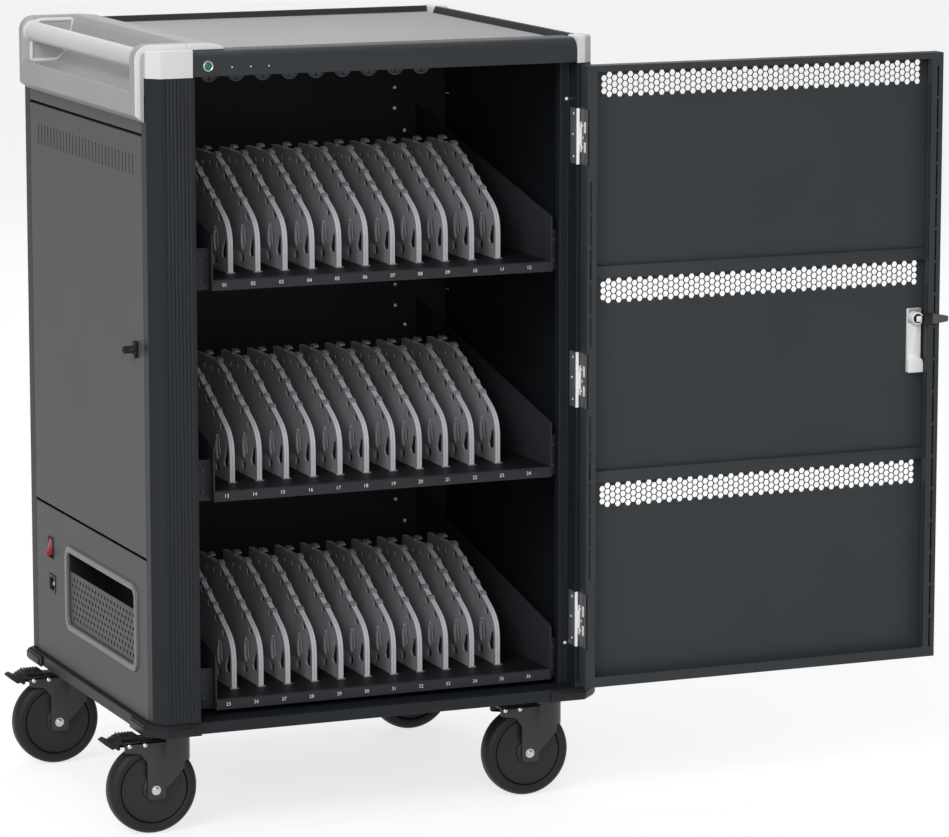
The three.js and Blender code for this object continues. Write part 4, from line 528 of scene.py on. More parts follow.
def drilled(shape, *cutters):
    """A shape with other shapes cut out of it."""
    stock = []
    for drawn in (shape, *cutters):
        mesh = bpy.data.meshes.new("stock")
        drawn.to_mesh(mesh)
        drawn.free()
        stock.append(bpy.data.objects.new("stock", mesh))
        bpy.context.scene.collection.objects.link(stock[-1])
    whole = stock[0]
    for tool in stock[1:]:
        cut = whole.modifiers.new("cut", "BOOLEAN")
        cut.operation = "DIFFERENCE"
        cut.solver = "EXACT"
        cut.object = tool
    done = bpy.data.meshes.new_from_object(whole.evaluated_get(bpy.context.evaluated_depsgraph_get()))
    parts = bmesh.new()
    parts.from_mesh(done)
    for item in stock:
        bpy.data.objects.remove(item)
    bpy.data.meshes.remove(done)
    return parts


grey_plastic = finish("grey_plastic", (177, 177, 177), 0.03, 0.45, 1500, 0.12)
apron = [(HOUSING_SIDE, APRON_EDGE, 3), (-319.1, APRON_FOOT, 0.8), (APRON_INSIDE, APRON_FOOT, 0),
         (APRON_INSIDE, 1000.3, 0), (-281.5, 1000.3, 0), (-262, 1016, 0), (TROUGH_EDGE, SHOULDER_FOOT, 0)]
on_board = [(-205, SHOULDER_FOOT, 0), (-207, 1058, 2), (-217, 1065, 12), (-240, HOUSING_TOP, 20)]
on_header = [(TROUGH_EDGE, HEADER_LID, 0), (-206.2, HEADER_LID, 0), (-209, 1062, 2), (-217, 1065.2, 12),
             (-232, HOUSING_TOP, 30)]
inside = [(TROUGH_EDGE, HOUSING_TOP, 4), (-256, 1059.5, 5), (-266, 1018, 10), (-282.5, 1004.3, 8),
          (-326, 1004.3, 1), (-327, 1006, 0.6), (HOUSING_SIDE, 1006, 3)]
corner = [(HOUSING_SIDE, HOUSING_TOP, 20)]
front_cheek = filleted(apron + on_header + corner, 10)
rear_cheek = filleted(apron + on_board + corner, 10)
pillar_seat = block(APRON_INSIDE, -250, HOUSING_FRONT - 5, 34.3, 940, 1024.4)
made("handle_moulding", "cabinet", grey_plastic, together(
    pressed("y", HEADER_REAR, REAR_CHEEK + 1, filleted(apron + on_board + inside)),
    pressed("y", FRONT_CHEEK - 1, HEADER_REAR, filleted(apron + on_header + inside)),
    drilled(pressed("y", HOUSING_FRONT, FRONT_CHEEK, front_cheek, edge=3, segments=4), pillar_seat),
    pressed("y", REAR_CHEEK, HOUSING_REAR, rear_cheek, edge=3, segments=4)), ["handle_housing"])

# Handle trim
# Pale strips pressed into the cheeks: a flat band round the front edge, a tapering tip that
# carries it on over the header, and a fine bead round the mouth of the rear cheek.
TRIM_FRONT = HOUSING_FRONT - 0.6
TRIM_REAR = HOUSING_FRONT + 2.8
BAND_INSIDE = -322.6
BAND_UNDERSIDE = 1059.2
TIP_UNDERSIDE = 1058.7


def meshed(curve):
    """A curve or a text as a drawn shape."""
    holder = bpy.data.objects.new("curve", curve)
    mesh = bpy.data.meshes.new_from_object(holder)
    parts = bmesh.new()
    parts.from_mesh(mesh)
    bpy.data.objects.remove(holder)
    bpy.data.curves.remove(curve)
    bpy.data.meshes.remove(mesh)
    return parts


def bead(points, radius, closed=False):
    """A round bead along a line of points."""
    line = bpy.data.curves.new("bead", "CURVE")
    line.dimensions = "3D"
    line.bevel_depth = radius
    line.bevel_resolution = 3
    line.use_fill_caps = not closed
    run = line.splines.new("POLY")
    run.points.add(len(points) - 1)
    for point, place in zip(run.points, points):
        point.co = (*place, 1)
    run.use_cyclic_u = closed
    return meshed(line)


pale_plastic = finish("pale_plastic", (224, 224, 224), 0.02, 0.42, 1500, 0.1)
band = filleted([(HOUSING_SIDE, APRON_EDGE, 0), (HOUSING_SIDE, HOUSING_TOP, 20), (-258.4, HOUSING_TOP, 0),
                 (-258.4, BAND_UNDERSIDE, 0), (BAND_INSIDE, BAND_UNDERSIDE, 11.5),
                 (BAND_INSIDE, 968.7, 0)], 10)
tip = filleted([(-258, TIP_UNDERSIDE, 0), (-206, TIP_UNDERSIDE, 0.8), (-209, 1062.4, 2), (-217, 1065.7, 12),
                (-232, HOUSING_TOP, 30), (-258, HOUSING_TOP, 0)])
mouth = filleted([(-317.5, 1005.5, 4), (-280, 1005.5, 8), (-267, 1014, 6), (-256, 1050, 4),
                  (-256, 1061.5, 4), (-316, 1061.5, 15)])
made("handle_trim", "cabinet", pale_plastic, together(
    pressed("y", TRIM_FRONT, TRIM_REAR, band, edge=1, segments=3),
    pressed("y", TRIM_FRONT, TRIM_REAR, tip, edge=1, segments=3),
    bead([(x, REAR_CHEEK - 0.4, z) for x, z in mouth], 2.7, closed=True)))

# Handle bar
# A moulded grip tube between the cheeks, pale like the trim and flared a little where it runs
# into them.
BAR_X = -313
BAR_Z = 1046
BAR_RADIUS = 13.5
BAR_FLARE = 16
bar_front = FRONT_CHEEK + 0.2
bar_rear = REAR_CHEEK - 0.2
grip = [(0, bar_front), (BAR_FLARE, bar_front), (14.4, 43.5), (BAR_RADIUS, 48), (BAR_RADIUS, 507),
        (14.4, 511), (BAR_FLARE, bar_rear), (0, bar_rear)]
grip_plastic = finish("grip_plastic", (224, 224, 224), 0.03, 0.4, 1500, 0.12)
made("handle_grip", "cabinet", grip_plastic, turned("y", (BAR_X, 0, BAR_Z), grip, 36),
     ["handle_bar"])

# Header
# A folded beam across the front with a broad round edge, painted slate, stepped at its left end
# round the handle and drilled for the power button.
HEADER_LEFT = -255.8
HEADER_STEP = -251.6
HEADER_RIGHT = 290.7
HEADER_FOOT = 1025
HEADER_TOP = 1058
HEADER_ROUND = 18
HEADER_DEPTH = 50
STEP_DEPTH = 19.4
BUTTON_X = -236.2
BUTTON_Z = 1039
slate_paint = finish("slate_paint", (48, 52, 56), 0.05, 0.47, 900, 0.12)
front_edge = [(0, HEADER_FOOT, 1), (0, HEADER_TOP, HEADER_ROUND)]
beam = filleted([(46, HEADER_FOOT, 0), *front_edge, (HEADER_DEPTH, HEADER_TOP, 2),
                 (HEADER_DEPTH, 1036, 0)], 10)
beam_end = filleted([(STEP_DEPTH, HEADER_FOOT, 0), *front_edge, (STEP_DEPTH, HEADER_TOP, 0)], 10)
opening = turned("y", (BUTTON_X, 0, BUTTON_Z), [(0, -2), (7.5, -2), (7.5, 16), (0, 16)], 24)
made("header_beam", "cabinet", slate_paint, together(
    drilled(pressed("x", HEADER_STEP, HEADER_RIGHT, beam), opening),
    pressed("x", HEADER_LEFT, HEADER_STEP, beam_end)), ["header"])

# Power button and pilot lights
# A green plunger in a bright steel bezel ring at the left of the header, and three small pale
# lenses beside it.
PILOTS = (-203, -177, -151.6)
PILOT_Z = 1036.5
bright_steel = finish("bright_steel", (205, 207, 209), 0.05, 0.28, 700, 0.04, metallic=0.9,
                      stretch=(1, 1, 6))
green_plastic = finish("green_plastic", (44, 116, 74), 0.08, 0.3, 900, 0.05)
ring = [(5.2, 9), (7.2, 9), (7.2, -0.6), (6.8, -1.4), (5.9, -1.6), (5.2, -1.1)]
made("button_bezel", "cabinet", bright_steel,
     turned("y", (BUTTON_X, 0, BUTTON_Z), ring, 32, closed=True), ["button_ring"])
plunger = [(0, -2), (3.4, -1.9), (4.6, -1.2), (4.9, -0.4), (4.9, 11.5), (0, 11.5)]
made("button_plunger", "button", green_plastic,
     turned("y", (BUTTON_X, 0, BUTTON_Z), plunger, 28), ["power_button"])
lens = [(0, -0.7), (0.9, -0.5), (1.3, 0.4), (0, 0.4)]
made("pilot_lights", "cabinet", pale_plastic,
     together(*[turned("y", (x, 0, PILOT_Z), lens, 12) for x in PILOTS]))

# Top rails
# Folded steel edgings round the right and rear of the top, rounded outside and leaning in to
# the mat.
RAIL_FOOT = 1024.3
RAIL_TOP = 1061
REAR_RAIL_TOP = 1060.5
RAIL_INNER_FOOT = 1036.7
MAT_TOP = 1052
MAT_RIGHT = 293
MAT_REAR = 545
right_edge = filleted([
    (CABINET_SIDE - 3, RAIL_FOOT, 0), (CABINET_SIDE, RAIL_FOOT, 0.6), (CABINET_SIDE, RAIL_TOP, 18),
    (MAT_RIGHT + 3.6, RAIL_TOP, 2), (MAT_RIGHT, MAT_TOP, 0), (MAT_RIGHT, RAIL_INNER_FOOT, 0),
], 10)
made("rail_right", "cabinet", slate_paint, pressed("y", 34.3, 523.7, right_edge),
     ["top_rail_right"])
rear_edge = filleted([
    (CABINET_DEPTH - 3, RAIL_FOOT, 0), (CABINET_DEPTH, RAIL_FOOT, 0.6), (CABINET_DEPTH, REAR_RAIL_TOP, 12),
    (MAT_REAR + 2, REAR_RAIL_TOP, 2), (MAT_REAR, MAT_TOP, 0), (MAT_REAR, RAIL_INNER_FOOT, 0),
], 8)
made("rail_rear", "cabinet", slate_paint, pressed("x", -261.7, 292.7, rear_edge),
     ["top_rail_back"])

# Top mat
# A soft grey mat on a board that runs on under the handle's shoulder, sunk between the rails
# as a place to set a laptop down.
MAT_GAP = 0.3
MAT_FRONT = 50.3
MAT_LEFT = -204.7
BOARD_LEFT = -251.7
BOARD_FOOT = 1040
BOARD_STEP = 1048.9
mat_rubber = finish("mat_rubber", (182, 182, 182), 0.025, 0.72, 700, 0.25)
mat_sides = (MAT_RIGHT - MAT_GAP, MAT_FRONT, MAT_REAR - MAT_GAP)
made("top_mat", "cabinet", mat_rubber, together(
    block(BOARD_LEFT, *mat_sides, BOARD_FOOT, BOARD_STEP, 0.5),
    block(MAT_LEFT, *mat_sides, BOARD_STEP, MAT_TOP, 0.8)), ["top_board"])

# Corner caps
# Pale mouldings that close the tops of the pillars and meet the header and the rails, with a
# chamfered corner and a broad round top edge.
CHAMFER_X = 302.5
CHAMFER_Y = 15.5
rear_chamfer = CABINET_DEPTH - CHAMFER_Y
CAP_CORNERS = {
    "front_left": [(-256.3, 0, 2), (-CHAMFER_X, 0, 3), (-CABINET_SIDE, CHAMFER_Y, 2),
                   (-CABINET_SIDE, 19.6, 0), (-256.3, 19.6, 0)],
    "front_right": [(291, 0, 0), (CHAMFER_X, 0, 4), (CABINET_SIDE, CHAMFER_Y, 4),
                    (CABINET_SIDE, 34, 0), (291, 34, 0)],
    "rear_right": [(293, 524, 0), (CABINET_SIDE, 524, 0), (CABINET_SIDE, rear_chamfer, 4),
                   (CHAMFER_X, CABINET_DEPTH, 4), (293, CABINET_DEPTH, 0)],
    "rear_left": [(-262, 527.6, 0), (-CABINET_SIDE, 527.6, 0), (-CABINET_SIDE, rear_chamfer, 4),
                  (-CHAMFER_X, CABINET_DEPTH, 4), (-262, CABINET_DEPTH, 0)],
}
for name, corners in CAP_CORNERS.items():
    cap = pressed("z", RAIL_FOOT, RAIL_TOP, filleted(corners, 4))
    top_edges = [e for e in cap.edges if all(v.co.z > RAIL_TOP - 1 for v in e.verts)]
    rim = [e for e in top_edges if len(e.link_faces) == 2 and e.calc_face_angle() > 0.5]
    bmesh.ops.bevel(cap, geom=rim, offset=8, offset_type="OFFSET", segments=6, profile=0.5,
                    affect="EDGES", clamp_overlap=True, material=-1)
    made(f"corner_cap_{name}", "cabinet", pale_plastic, cap, [f"cap_{name}"])

# Shelf trays
# Folded steel trays on flanges bolted to the side walls: a floor, a lip turned down at the front that
# carries the slot numbers, and a sloping cheek at each end. The floor is finished near-black, which paints
# the shade that falls on it inside the bay.
SHELF_BOTTOMS = (168.3, 452.9, 737.5)
SHELF_NAMES = ("shelf_bottom", "shelf_middle", "shelf_top")
SHELF_LEFT = -222.7
SHELF_RIGHT = 269.3
SHELF_FRONT = 32
SHELF_REAR = 527.7
SHELF_LIP = 14
SHELF_SHEET = 2
SHELF_FOLD = 6
CHEEK_FRONT = 75.5
CHEEK_REAR = 184
FLANGE_LEFT = -243.7
FLANGE_RIGHT = 283.6
FLANGE_FACE = 45.3
FLANGE_HEIGHT = 56
shelf_paint = finish("shelf_paint", (44, 46, 50), 0.06, 0.5, 900, 0.12)
for name, bottom in zip(SHELF_NAMES, SHELF_BOTTOMS):
    floor_top = bottom + SHELF_LIP
    floor_foot = floor_top - SHELF_SHEET
    floor_front = SHELF_FRONT + SHELF_FOLD
    # The floor plate's near-black paints the shade that falls on it inside the bay.
    deck = block(SHELF_LEFT, SHELF_RIGHT, floor_front - 0.2, SHELF_REAR, floor_foot, floor_top - 0.05)
    made(f"deck_{name}", "cabinet", black_paint, deck, [name])
    fold = filleted([
        (SHELF_FRONT, bottom, 0), (SHELF_FRONT + SHELF_SHEET, bottom, 0),
        (SHELF_FRONT + SHELF_SHEET, floor_foot, 0), (floor_front, floor_foot, 0),
        (floor_front, floor_top, 0), (SHELF_FRONT, floor_top, 2),
    ], 4)
    cheek = filleted([(SHELF_FRONT, bottom, 0), (SHELF_REAR, bottom, 0),
                      (SHELF_REAR, bottom + CHEEK_REAR, 0), (SHELF_FRONT, bottom + CHEEK_FRONT, 6)], 4)
    flange_box = (FLANGE_FACE, FLANGE_FACE + SHELF_SHEET, bottom, bottom + FLANGE_HEIGHT)
    flanges = [block(FLANGE_LEFT, SHELF_LEFT + 1, *flange_box, 0.4),
               block(SHELF_RIGHT - 1, FLANGE_RIGHT, *flange_box, 0.4)]
    made(f"tray_{name}", "cabinet", shelf_paint, together(
        pressed("x", SHELF_LEFT, SHELF_RIGHT, fold),
        pressed("x", SHELF_LEFT, SHELF_LEFT + SHELF_SHEET, cheek, edge=0.5),
        pressed("x", SHELF_RIGHT - SHELF_SHEET, SHELF_RIGHT, cheek, edge=0.5), *flanges), [name])
    bolts = [screw("y", x, FLANGE_FACE, bottom + z, 3.2, 1.8) for x in (-234, 276.5) for z in (14, 42)]
    made(f"tray_bolts_{name}", "cabinet", dark_steel, together(*bolts))

# Dividers
# Grey uprights, eleven to a shelf, moulded in two thin halves. A black sheet between the halves paints the
# shade seen through their holes, and a paler band along each front edge paints the light that falls on the
# edges facing the front. Their sweeping fronts carry cable fingers, and their faces are pierced for ties.
DIVIDER_FIRST = -176.3
DIVIDER_PITCH = 38.8
DIVIDER_COUNT = 11
DIVIDER_REAR = 339
DIVIDER_TOP = 141.4
HALF_THICKNESS = 3.5
SKIN = 2
EDGE_BAND = 2.6
DIVIDER_FRONT = (
    (87.5, 0), (87.5, 34.5), (87.9, 41), (88.9, 47.5), (90.6, 53.5), (93.3, 59), (97, 64.2),
    (101.5, 68.8), (107, 73), (114, 77.5), (123, 82.1), (136, 89), (152, 96.5), (166.5, 104),
    (182.5, 113), (210, 126.5), (230, 135.4), (240, 138.8), (250, 140.6), (262, DIVIDER_TOP),
    (DIVIDER_REAR, DIVIDER_TOP),
)
TIE_HOLES = ((119, 70.8), (148, 86), (177, 101), (206, 115.5), (234.6, 128))
TOP_HOLES = ((265, 129), (294.6, 127.6))
RING_Y = 132
RING_Z = 41
RING_HALF_WIDTH = 8
RING_HALF_HEIGHT = 17
FINGER = ((-6.6, -2), (-6.4, 2.4), (-5, 4.9), (-2.4, 5.8), (3, 5.4), (6.2, 4), (6.6, 2.8), (5, 2.4),
          (0, 2.6), (-2.8, 2.2), (-3.6, 0.8), (-3.2, -2))
# Each finger's place, slope and size, and which way its free end points, to the rear or the front.
FINGERS = ((141, 90.4, 24, 0.72, 1), (163, 101.2, 27, 0.72, -1), (188.5, 115, 27, 0.72, 1),
           (211, 126, 25, 0.72, -1), (246, 139.4, 14, 1.1, -1), (288, 141.6, 0, 1.4, -1))


def inset(line, depth):
    """A line moved in from the edge of a divider by a depth."""
    moved = []
    for index, (u, v) in enumerate(line):
        along = Vector(line[min(index + 1, len(line) - 1)]) - Vector(line[max(index - 1, 0)])
        along.normalize()
        moved.append((u + along.y * depth, v - along.x * depth))
    return moved


def oval(u, v, half_width, half_height, lean, steps=12):
    """An oval about a place, leaning by a number of degrees."""
    angles = [step * math.tau / steps for step in range(steps)]
    return placed([(half_width * math.cos(a), half_height * math.sin(a)) for a in angles], u, v, lean)


def repeated(shape, bottom):
    """One divider's shape, copied to the eleven places on a shelf."""
    single = bpy.data.meshes.new("single")
    shape.to_mesh(single)
    row = bmesh.new()
    for index in range(DIVIDER_COUNT):
        drawn = len(row.verts)
        row.from_mesh(single)
        row.verts.ensure_lookup_table()
        place = (DIVIDER_FIRST + index * DIVIDER_PITCH, 0, bottom + SHELF_LIP)
        bmesh.ops.translate(row, verts=row.verts[drawn:], vec=place)
    bpy.data.meshes.remove(single)
    return row


divider_plastic = finish("divider_plastic", (138, 139, 143), 0.14, 0.46, 1300, 0.12, stretch=(1, 3, 1))
# A lighter copy of the divider plastic for the front edge bands: painted light on the edges that face the
# front.
lit_edge_plastic = finish("lit_edge_plastic", (192, 193, 197), 0.04, 0.46, 1300, 0.12)
face_holes = [oval(u, v, 7, 4.6, 28) for u, v in TIE_HOLES]
face_holes += [oval(u, v, 5, 4, 8) for u, v in TOP_HOLES]
face_holes.append(filleted([(94, 20, 2.5), (108, 18.5, 4), (112.5, 24.5, 4), (105, 40, 5), (98, 47, 2),
                            (94, 43, 2)], 3))
face_holes.append(filleted([(121, 34, 2), (127.5, 30, 2), (130.5, 44, 6), (131.5, 57, 2), (126, 56, 2),
                            (123, 46, 6)], 3))
face_holes.append(rectangle(133, 145, 8, 18.5, 1.5, 2))
face_line = inset(DIVIDER_FRONT, 0.25) + [(DIVIDER_REAR, 0)]
edge_line = [*DIVIDER_FRONT, *inset(DIVIDER_FRONT, EDGE_BAND)[::-1]]
ring_angles = [math.radians(d) for d in range(-72, 73, 12)]
ring_side = [(RING_Y + RING_HALF_WIDTH * math.cos(a), RING_Z + RING_HALF_HEIGHT * math.sin(a))
             for a in ring_angles]
half_shapes = []
edge_shapes = []
for side in (-1, 1):
    face_width = sorted((side * HALF_THICKNESS, side * (HALF_THICKNESS - SKIN)))
    edge_width = sorted((side * 0.2, side * (HALF_THICKNESS - 0.05)))
    half_shapes.append(pressed("x", *face_width, face_line, face_holes))
    edge_shapes.append(pressed("x", *edge_width, edge_line))
    half_shapes.append(bead([(side * HALF_THICKNESS, y, z) for y, z in ring_side], 2.5))
    for y, z, slope, size, way in FINGERS:
        finger = placed([(s * size * way, n * size) for s, n in FINGER], y, z, slope)
        half_shapes.append(pressed("x", *edge_width, finger))
foot = rectangle(148, 338, 0.2, 20.5)
half_shapes.append(pressed("x", -HALF_THICKNESS - 0.5, HALF_THICKNESS + 0.5, foot, edge=0.4))
half_shapes.append(pressed("z", 0, 0.9, oval(0, 86.5, 6.5, 4, 0, 16), edge=0.3))
upright = together(*half_shapes)
edging = together(*edge_shapes)
# A black sheet between the two halves, painting the shade seen through the holes.
shade_core_line = inset(DIVIDER_FRONT, EDGE_BAND + 0.4)[1:-1] + [(DIVIDER_REAR - 3, 1), (91, 1)]
shade_core = pressed("x", -0.15, 0.15, shade_core_line)
for name, bottom in zip(SHELF_NAMES, SHELF_BOTTOMS):
    made(f"dividers_{name}", "cabinet", divider_plastic, repeated(upright, bottom),
         [name])
    made(f"edges_{name}", "cabinet", lit_edge_plastic, repeated(edging, bottom), [name])
    made(f"shade_cores_{name}", "cabinet", black_paint, repeated(shade_core, bottom), [name])

# Slot numbers
# Small white printed numerals on the lip of each shelf, one for every slot, counted from the
# top left.
SLOT_COUNT = 12
NUMBER_SIZE = 7
NUMBER_FIRST = -204.5
NUMBER_PITCH = 39.9
white_print = finish("white_print", (230, 231, 232), 0.02, 0.6, 900, 0.02)


def numeral(text, x, y, z):
    """Printed digits, centred on a point of a face that looks to the front."""
    words = bpy.data.curves.new("numeral", "FONT")
    words.body = text
    words.size = NUMBER_SIZE
    words.align_x = "CENTER"
    words.align_y = "CENTER"
    words.extrude = 0.05
    words.resolution_u = 3
    parts = meshed(words)
    parts.transform(Matrix.Translation((x, y, z)) @ Matrix.Rotation(math.radians(90), 4, "X"))
    return parts


for level, (name, bottom) in enumerate(zip(SHELF_NAMES, SHELF_BOTTOMS)):
    first = 1 + SLOT_COUNT * (2 - level)
    digits = []
    for slot in range(SLOT_COUNT):
        x = NUMBER_FIRST + slot * NUMBER_PITCH
        digits.append(numeral(f"{first + slot:02d}", x, SHELF_FRONT - 0.05, bottom + SHELF_LIP / 2))
    made(f"numbers_{name}", "cabinet", white_print, together(*digits))

# Charging gear
# Black moulded socket strips and their controller on the partition, in the bay behind the side
# door.
for name in ("socket_strip_1", "socket_strip_2", "socket_strip_3", "charge_controller"):
    dressed(name, black_plastic, 0.8)

# Front door
# A folded steel pan that stands wide open: a skin punched with three bands of hexagons, hemmed
# edges pierced with short slots along the two sides, and two stiffening rails.
DOOR_LEFT = 294.3
DOOR_RIGHT = 834
DOOR_BOTTOM = 165.4
DOOR_TOP = 1022
DOOR_FACE = -28
DOOR_SKIN = -5.4
DOOR_BACK = -4
DOOR_SHEET = 2
HEM_LEFT = DOOR_LEFT + 2.4
WINDOW_LEFT = DOOR_LEFT + 14
WINDOW_RIGHT = DOOR_RIGHT - 18
WINDOW_BOTTOM = DOOR_BOTTOM + 14
WINDOW_TOP = DOOR_TOP - 8.5
HEM_SLOT_COLUMNS = (299.4, 826.3)
HEM_SLOT_COUNT = 18
HEM_SLOT_PITCH = 46
HEM_SLOT_LENGTH = 42
HEM_SLOT_HALF = 1.4
HEX_FIRST = 328.4
HEX_PITCH = 7.82
HEX_COLUMNS = 62
HEX_ROW_PITCH = 8.72
HEX_RADIUS = 4.5
HEX_BAND_TOPS = (1007, 725.3, 442.3)
DOOR_RAILS = (456.4, 739.4)
HINGE_BOTTOMS = {"bottom": 220, "middle": 553.5, "top": 887}
HINGE_HEIGHT = 76
HINGE_GAP = 0.3
SPINDLE_X = 801.5
SPINDLE_Z = 650
door_paint = finish("door_paint", (56, 60, 63), 0.05, 0.46, 900, 0.12)
punched = []
for top in HEX_BAND_TOPS:
    for column in range(HEX_COLUMNS):
        u = HEX_FIRST + column * HEX_PITCH
        for row in range(4 if column % 2 else 3):
            v = top - row * HEX_ROW_PITCH - (0 if column % 2 else HEX_ROW_PITCH / 2)
            punched.append(disc(u, v, HEX_RADIUS, 6))
punched.append(disc(SPINDLE_X, SPINDLE_Z, 6.2, 16))
skin = pressed("y", DOOR_SKIN, DOOR_BACK,
               rectangle(DOOR_LEFT + 4, DOOR_RIGHT - 1, DOOR_BOTTOM + 1, DOOR_TOP - 1), punched)


def beside_hinge(v):
    """True of a height where a slot of the hinge edge would run into a hinge leaf."""
    return any(low - 50 < v < low + 82 for low in HINGE_BOTTOMS.values())


openings = [rectangle(WINDOW_LEFT, WINDOW_RIGHT, WINDOW_BOTTOM, WINDOW_TOP)]
for u in HEM_SLOT_COLUMNS:
    for step in range(HEM_SLOT_COUNT):
        v = WINDOW_BOTTOM + step * HEM_SLOT_PITCH
        if u > WINDOW_RIGHT or not beside_hinge(v):
            openings.append(rectangle(u - HEM_SLOT_HALF, u + HEM_SLOT_HALF, v, v + HEM_SLOT_LENGTH))
hem = pressed("y", DOOR_FACE, DOOR_FACE + DOOR_SHEET, rectangle(HEM_LEFT, DOOR_RIGHT, DOOR_BOTTOM, DOOR_TOP),
              openings, 0.5)
wall_depth = (DOOR_FACE + 1, DOOR_BACK)
return_box = (DOOR_FACE + 1, DOOR_FACE + 12, DOOR_BOTTOM + DOOR_SHEET, DOOR_TOP - DOOR_SHEET)
walls = [
    block(HEM_LEFT, HEM_LEFT + DOOR_SHEET, *wall_depth, DOOR_BOTTOM, DOOR_TOP),
    block(DOOR_RIGHT - DOOR_SHEET, DOOR_RIGHT, *wall_depth, DOOR_BOTTOM, DOOR_TOP, 0.5),
    block(HEM_LEFT, DOOR_RIGHT, *wall_depth, DOOR_TOP - DOOR_SHEET, DOOR_TOP, 0.5),
    block(HEM_LEFT, DOOR_RIGHT, *wall_depth, DOOR_BOTTOM, DOOR_BOTTOM + DOOR_SHEET, 0.5),
    block(WINDOW_LEFT - DOOR_SHEET, WINDOW_LEFT, *return_box),
    block(WINDOW_RIGHT, WINDOW_RIGHT + DOOR_SHEET, *return_box),
]
edge_lows = [DOOR_BOTTOM] + [low + HINGE_HEIGHT + HINGE_GAP for low in HINGE_BOTTOMS.values()]
edge_highs = [low - HINGE_GAP for low in HINGE_BOTTOMS.values()] + [DOOR_TOP]
for low, high in zip(edge_lows, edge_highs):
    walls.append(block(DOOR_LEFT, DOOR_LEFT + 2.6, DOOR_FACE, DOOR_BACK, low, high, 0.4))
rails = []
for z in DOOR_RAILS:
    rails.append(block(DOOR_LEFT + 8, DOOR_RIGHT - 8, DOOR_SKIN - 10, DOOR_SKIN, z - 8.6, z + 8.6, 1.2))
made("door_pan", "front_door", door_paint, together(skin, hem, *walls, *rails),
     ["door_panel"])

# Hinges
# Three butt hinges: a bright barrel on the door's hinge line, a painted leaf on the pillar's
# rebate wall, and a leaf let into the door's edge with bright pads, each held by three screws.
HINGE_X = 291.5
HINGE_Y = -2
BARREL = 2.4
KNUCKLE = 25
DOOR_LEAF = (294.55, 295.95)
PILLAR_LEAF = (289.3, 290.7)
PADS = ((-7, -3, 17, 58), (-20.5, -14.5, 17, 31), (-20.5, -14.5, 43.5, 58.4))
DOOR_LEAF_SCREWS = ((-9.5, 23.5), (-11.5, 37), (-9.5, 53))
PILLAR_LEAF_SCREWS = ((8, 68.5), (11, 40), (8, 10))
leaf_paint = finish("leaf_paint", (108, 109, 112), 0.05, 0.4, 900, 0.06, metallic=0.3)
for name, low in HINGE_BOTTOMS.items():
    high = low + HINGE_HEIGHT
    hinge_line = (HINGE_X, HINGE_Y, 0)
    sleeve_low = low + KNUCKLE + 0.2
    sleeve_high = high - KNUCKLE - 0.2
    sleeve = [(1.1, sleeve_low), (BARREL, sleeve_low), (BARREL, sleeve_high), (1.1, sleeve_high)]
    tongue = block(HINGE_X, DOOR_LEAF[1], -2.8, -1.2, sleeve_low + 0.1, sleeve_high - 0.1)
    pads = [block(DOOR_LEFT, 295, y0, y1, low + z0, low + z1, 0.2) for y0, y1, z0, z1 in PADS]
    heads = [screw("x", 294.5, y, low + z, 1.7, 0.3) for y, z in DOOR_LEAF_SCREWS]
    made(f"leaf_{name}_door", "front_door", light_steel,
         together(turned("z", hinge_line, sleeve, 16, closed=True), tongue, *pads, *heads),
         [f"hinge_{name}_door_leaf"])
    made(f"leaf_{name}_door_plate", "front_door", leaf_paint,
         block(*DOOR_LEAF, -24, -1.2, low, high, 0.4), [f"hinge_{name}_door_leaf"])
    pin = [(0, low), (BARREL, low), (BARREL, low + KNUCKLE), (0.8, low + KNUCKLE),
           (0.8, high - KNUCKLE), (BARREL, high - KNUCKLE), (BARREL, high), (0, high)]
    heads = [screw("x", PILLAR_LEAF[0], y, low + z, 1.8, 0.5) for y, z in PILLAR_LEAF_SCREWS]
    made(f"leaf_{name}_pillar", "cabinet", light_steel,
         together(turned("z", hinge_line, pin, 16), *heads), [f"hinge_{name}_pillar_leaf"])
    made(f"leaf_{name}_pillar_plate", "cabinet", leaf_paint, together(
        block(*PILLAR_LEAF, 2.2, 20, low, high, 0.4),
        block(*PILLAR_LEAF, HINGE_Y, 2.4, low, low + KNUCKLE),
        block(*PILLAR_LEAF, HINGE_Y, 2.4, high - KNUCKLE, high)), [f"hinge_{name}_pillar_leaf"])

# Door lock
# A light-steel bracket in the door with a round-topped hood and a bright gland, a black arm whose
# tongue swings behind the pillar, clamped by a square nut, and a lever on the outside.
BRACKET_FOOT = 572
BRACKET_TOP = 662.4
BRACKET_LEFT = 793.5
BRACKET_RIGHT = 813.9
HOOD_LEFT = BRACKET_LEFT - 1.4
HOOD_RIGHT = BRACKET_RIGHT + 1.4
HOOD_TOP = 595.4
ARM_REAR = -26.4
TONGUE_FRONT = -32.4
TONGUE_LEFT = 821.4
TONGUE_FOOT = 641.8
TONGUE_TOP = 657
NUT_HALF = 3.9
spindle = (SPINDLE_X, 0, SPINDLE_Z)
bracket = rectangle(BRACKET_LEFT, BRACKET_RIGHT, BRACKET_FOOT, BRACKET_TOP)
hood = filleted([(HOOD_LEFT, BRACKET_FOOT, 0), (HOOD_RIGHT, BRACKET_FOOT, 0), (HOOD_RIGHT, HOOD_TOP, 11.5),
                 (HOOD_LEFT, HOOD_TOP, 11.5)], 8)
gland = [(6.7, -12), (8.9, -12), (8.9, -25.6), (8.5, -26.2), (7.1, -26.2), (6.7, -25.6)]
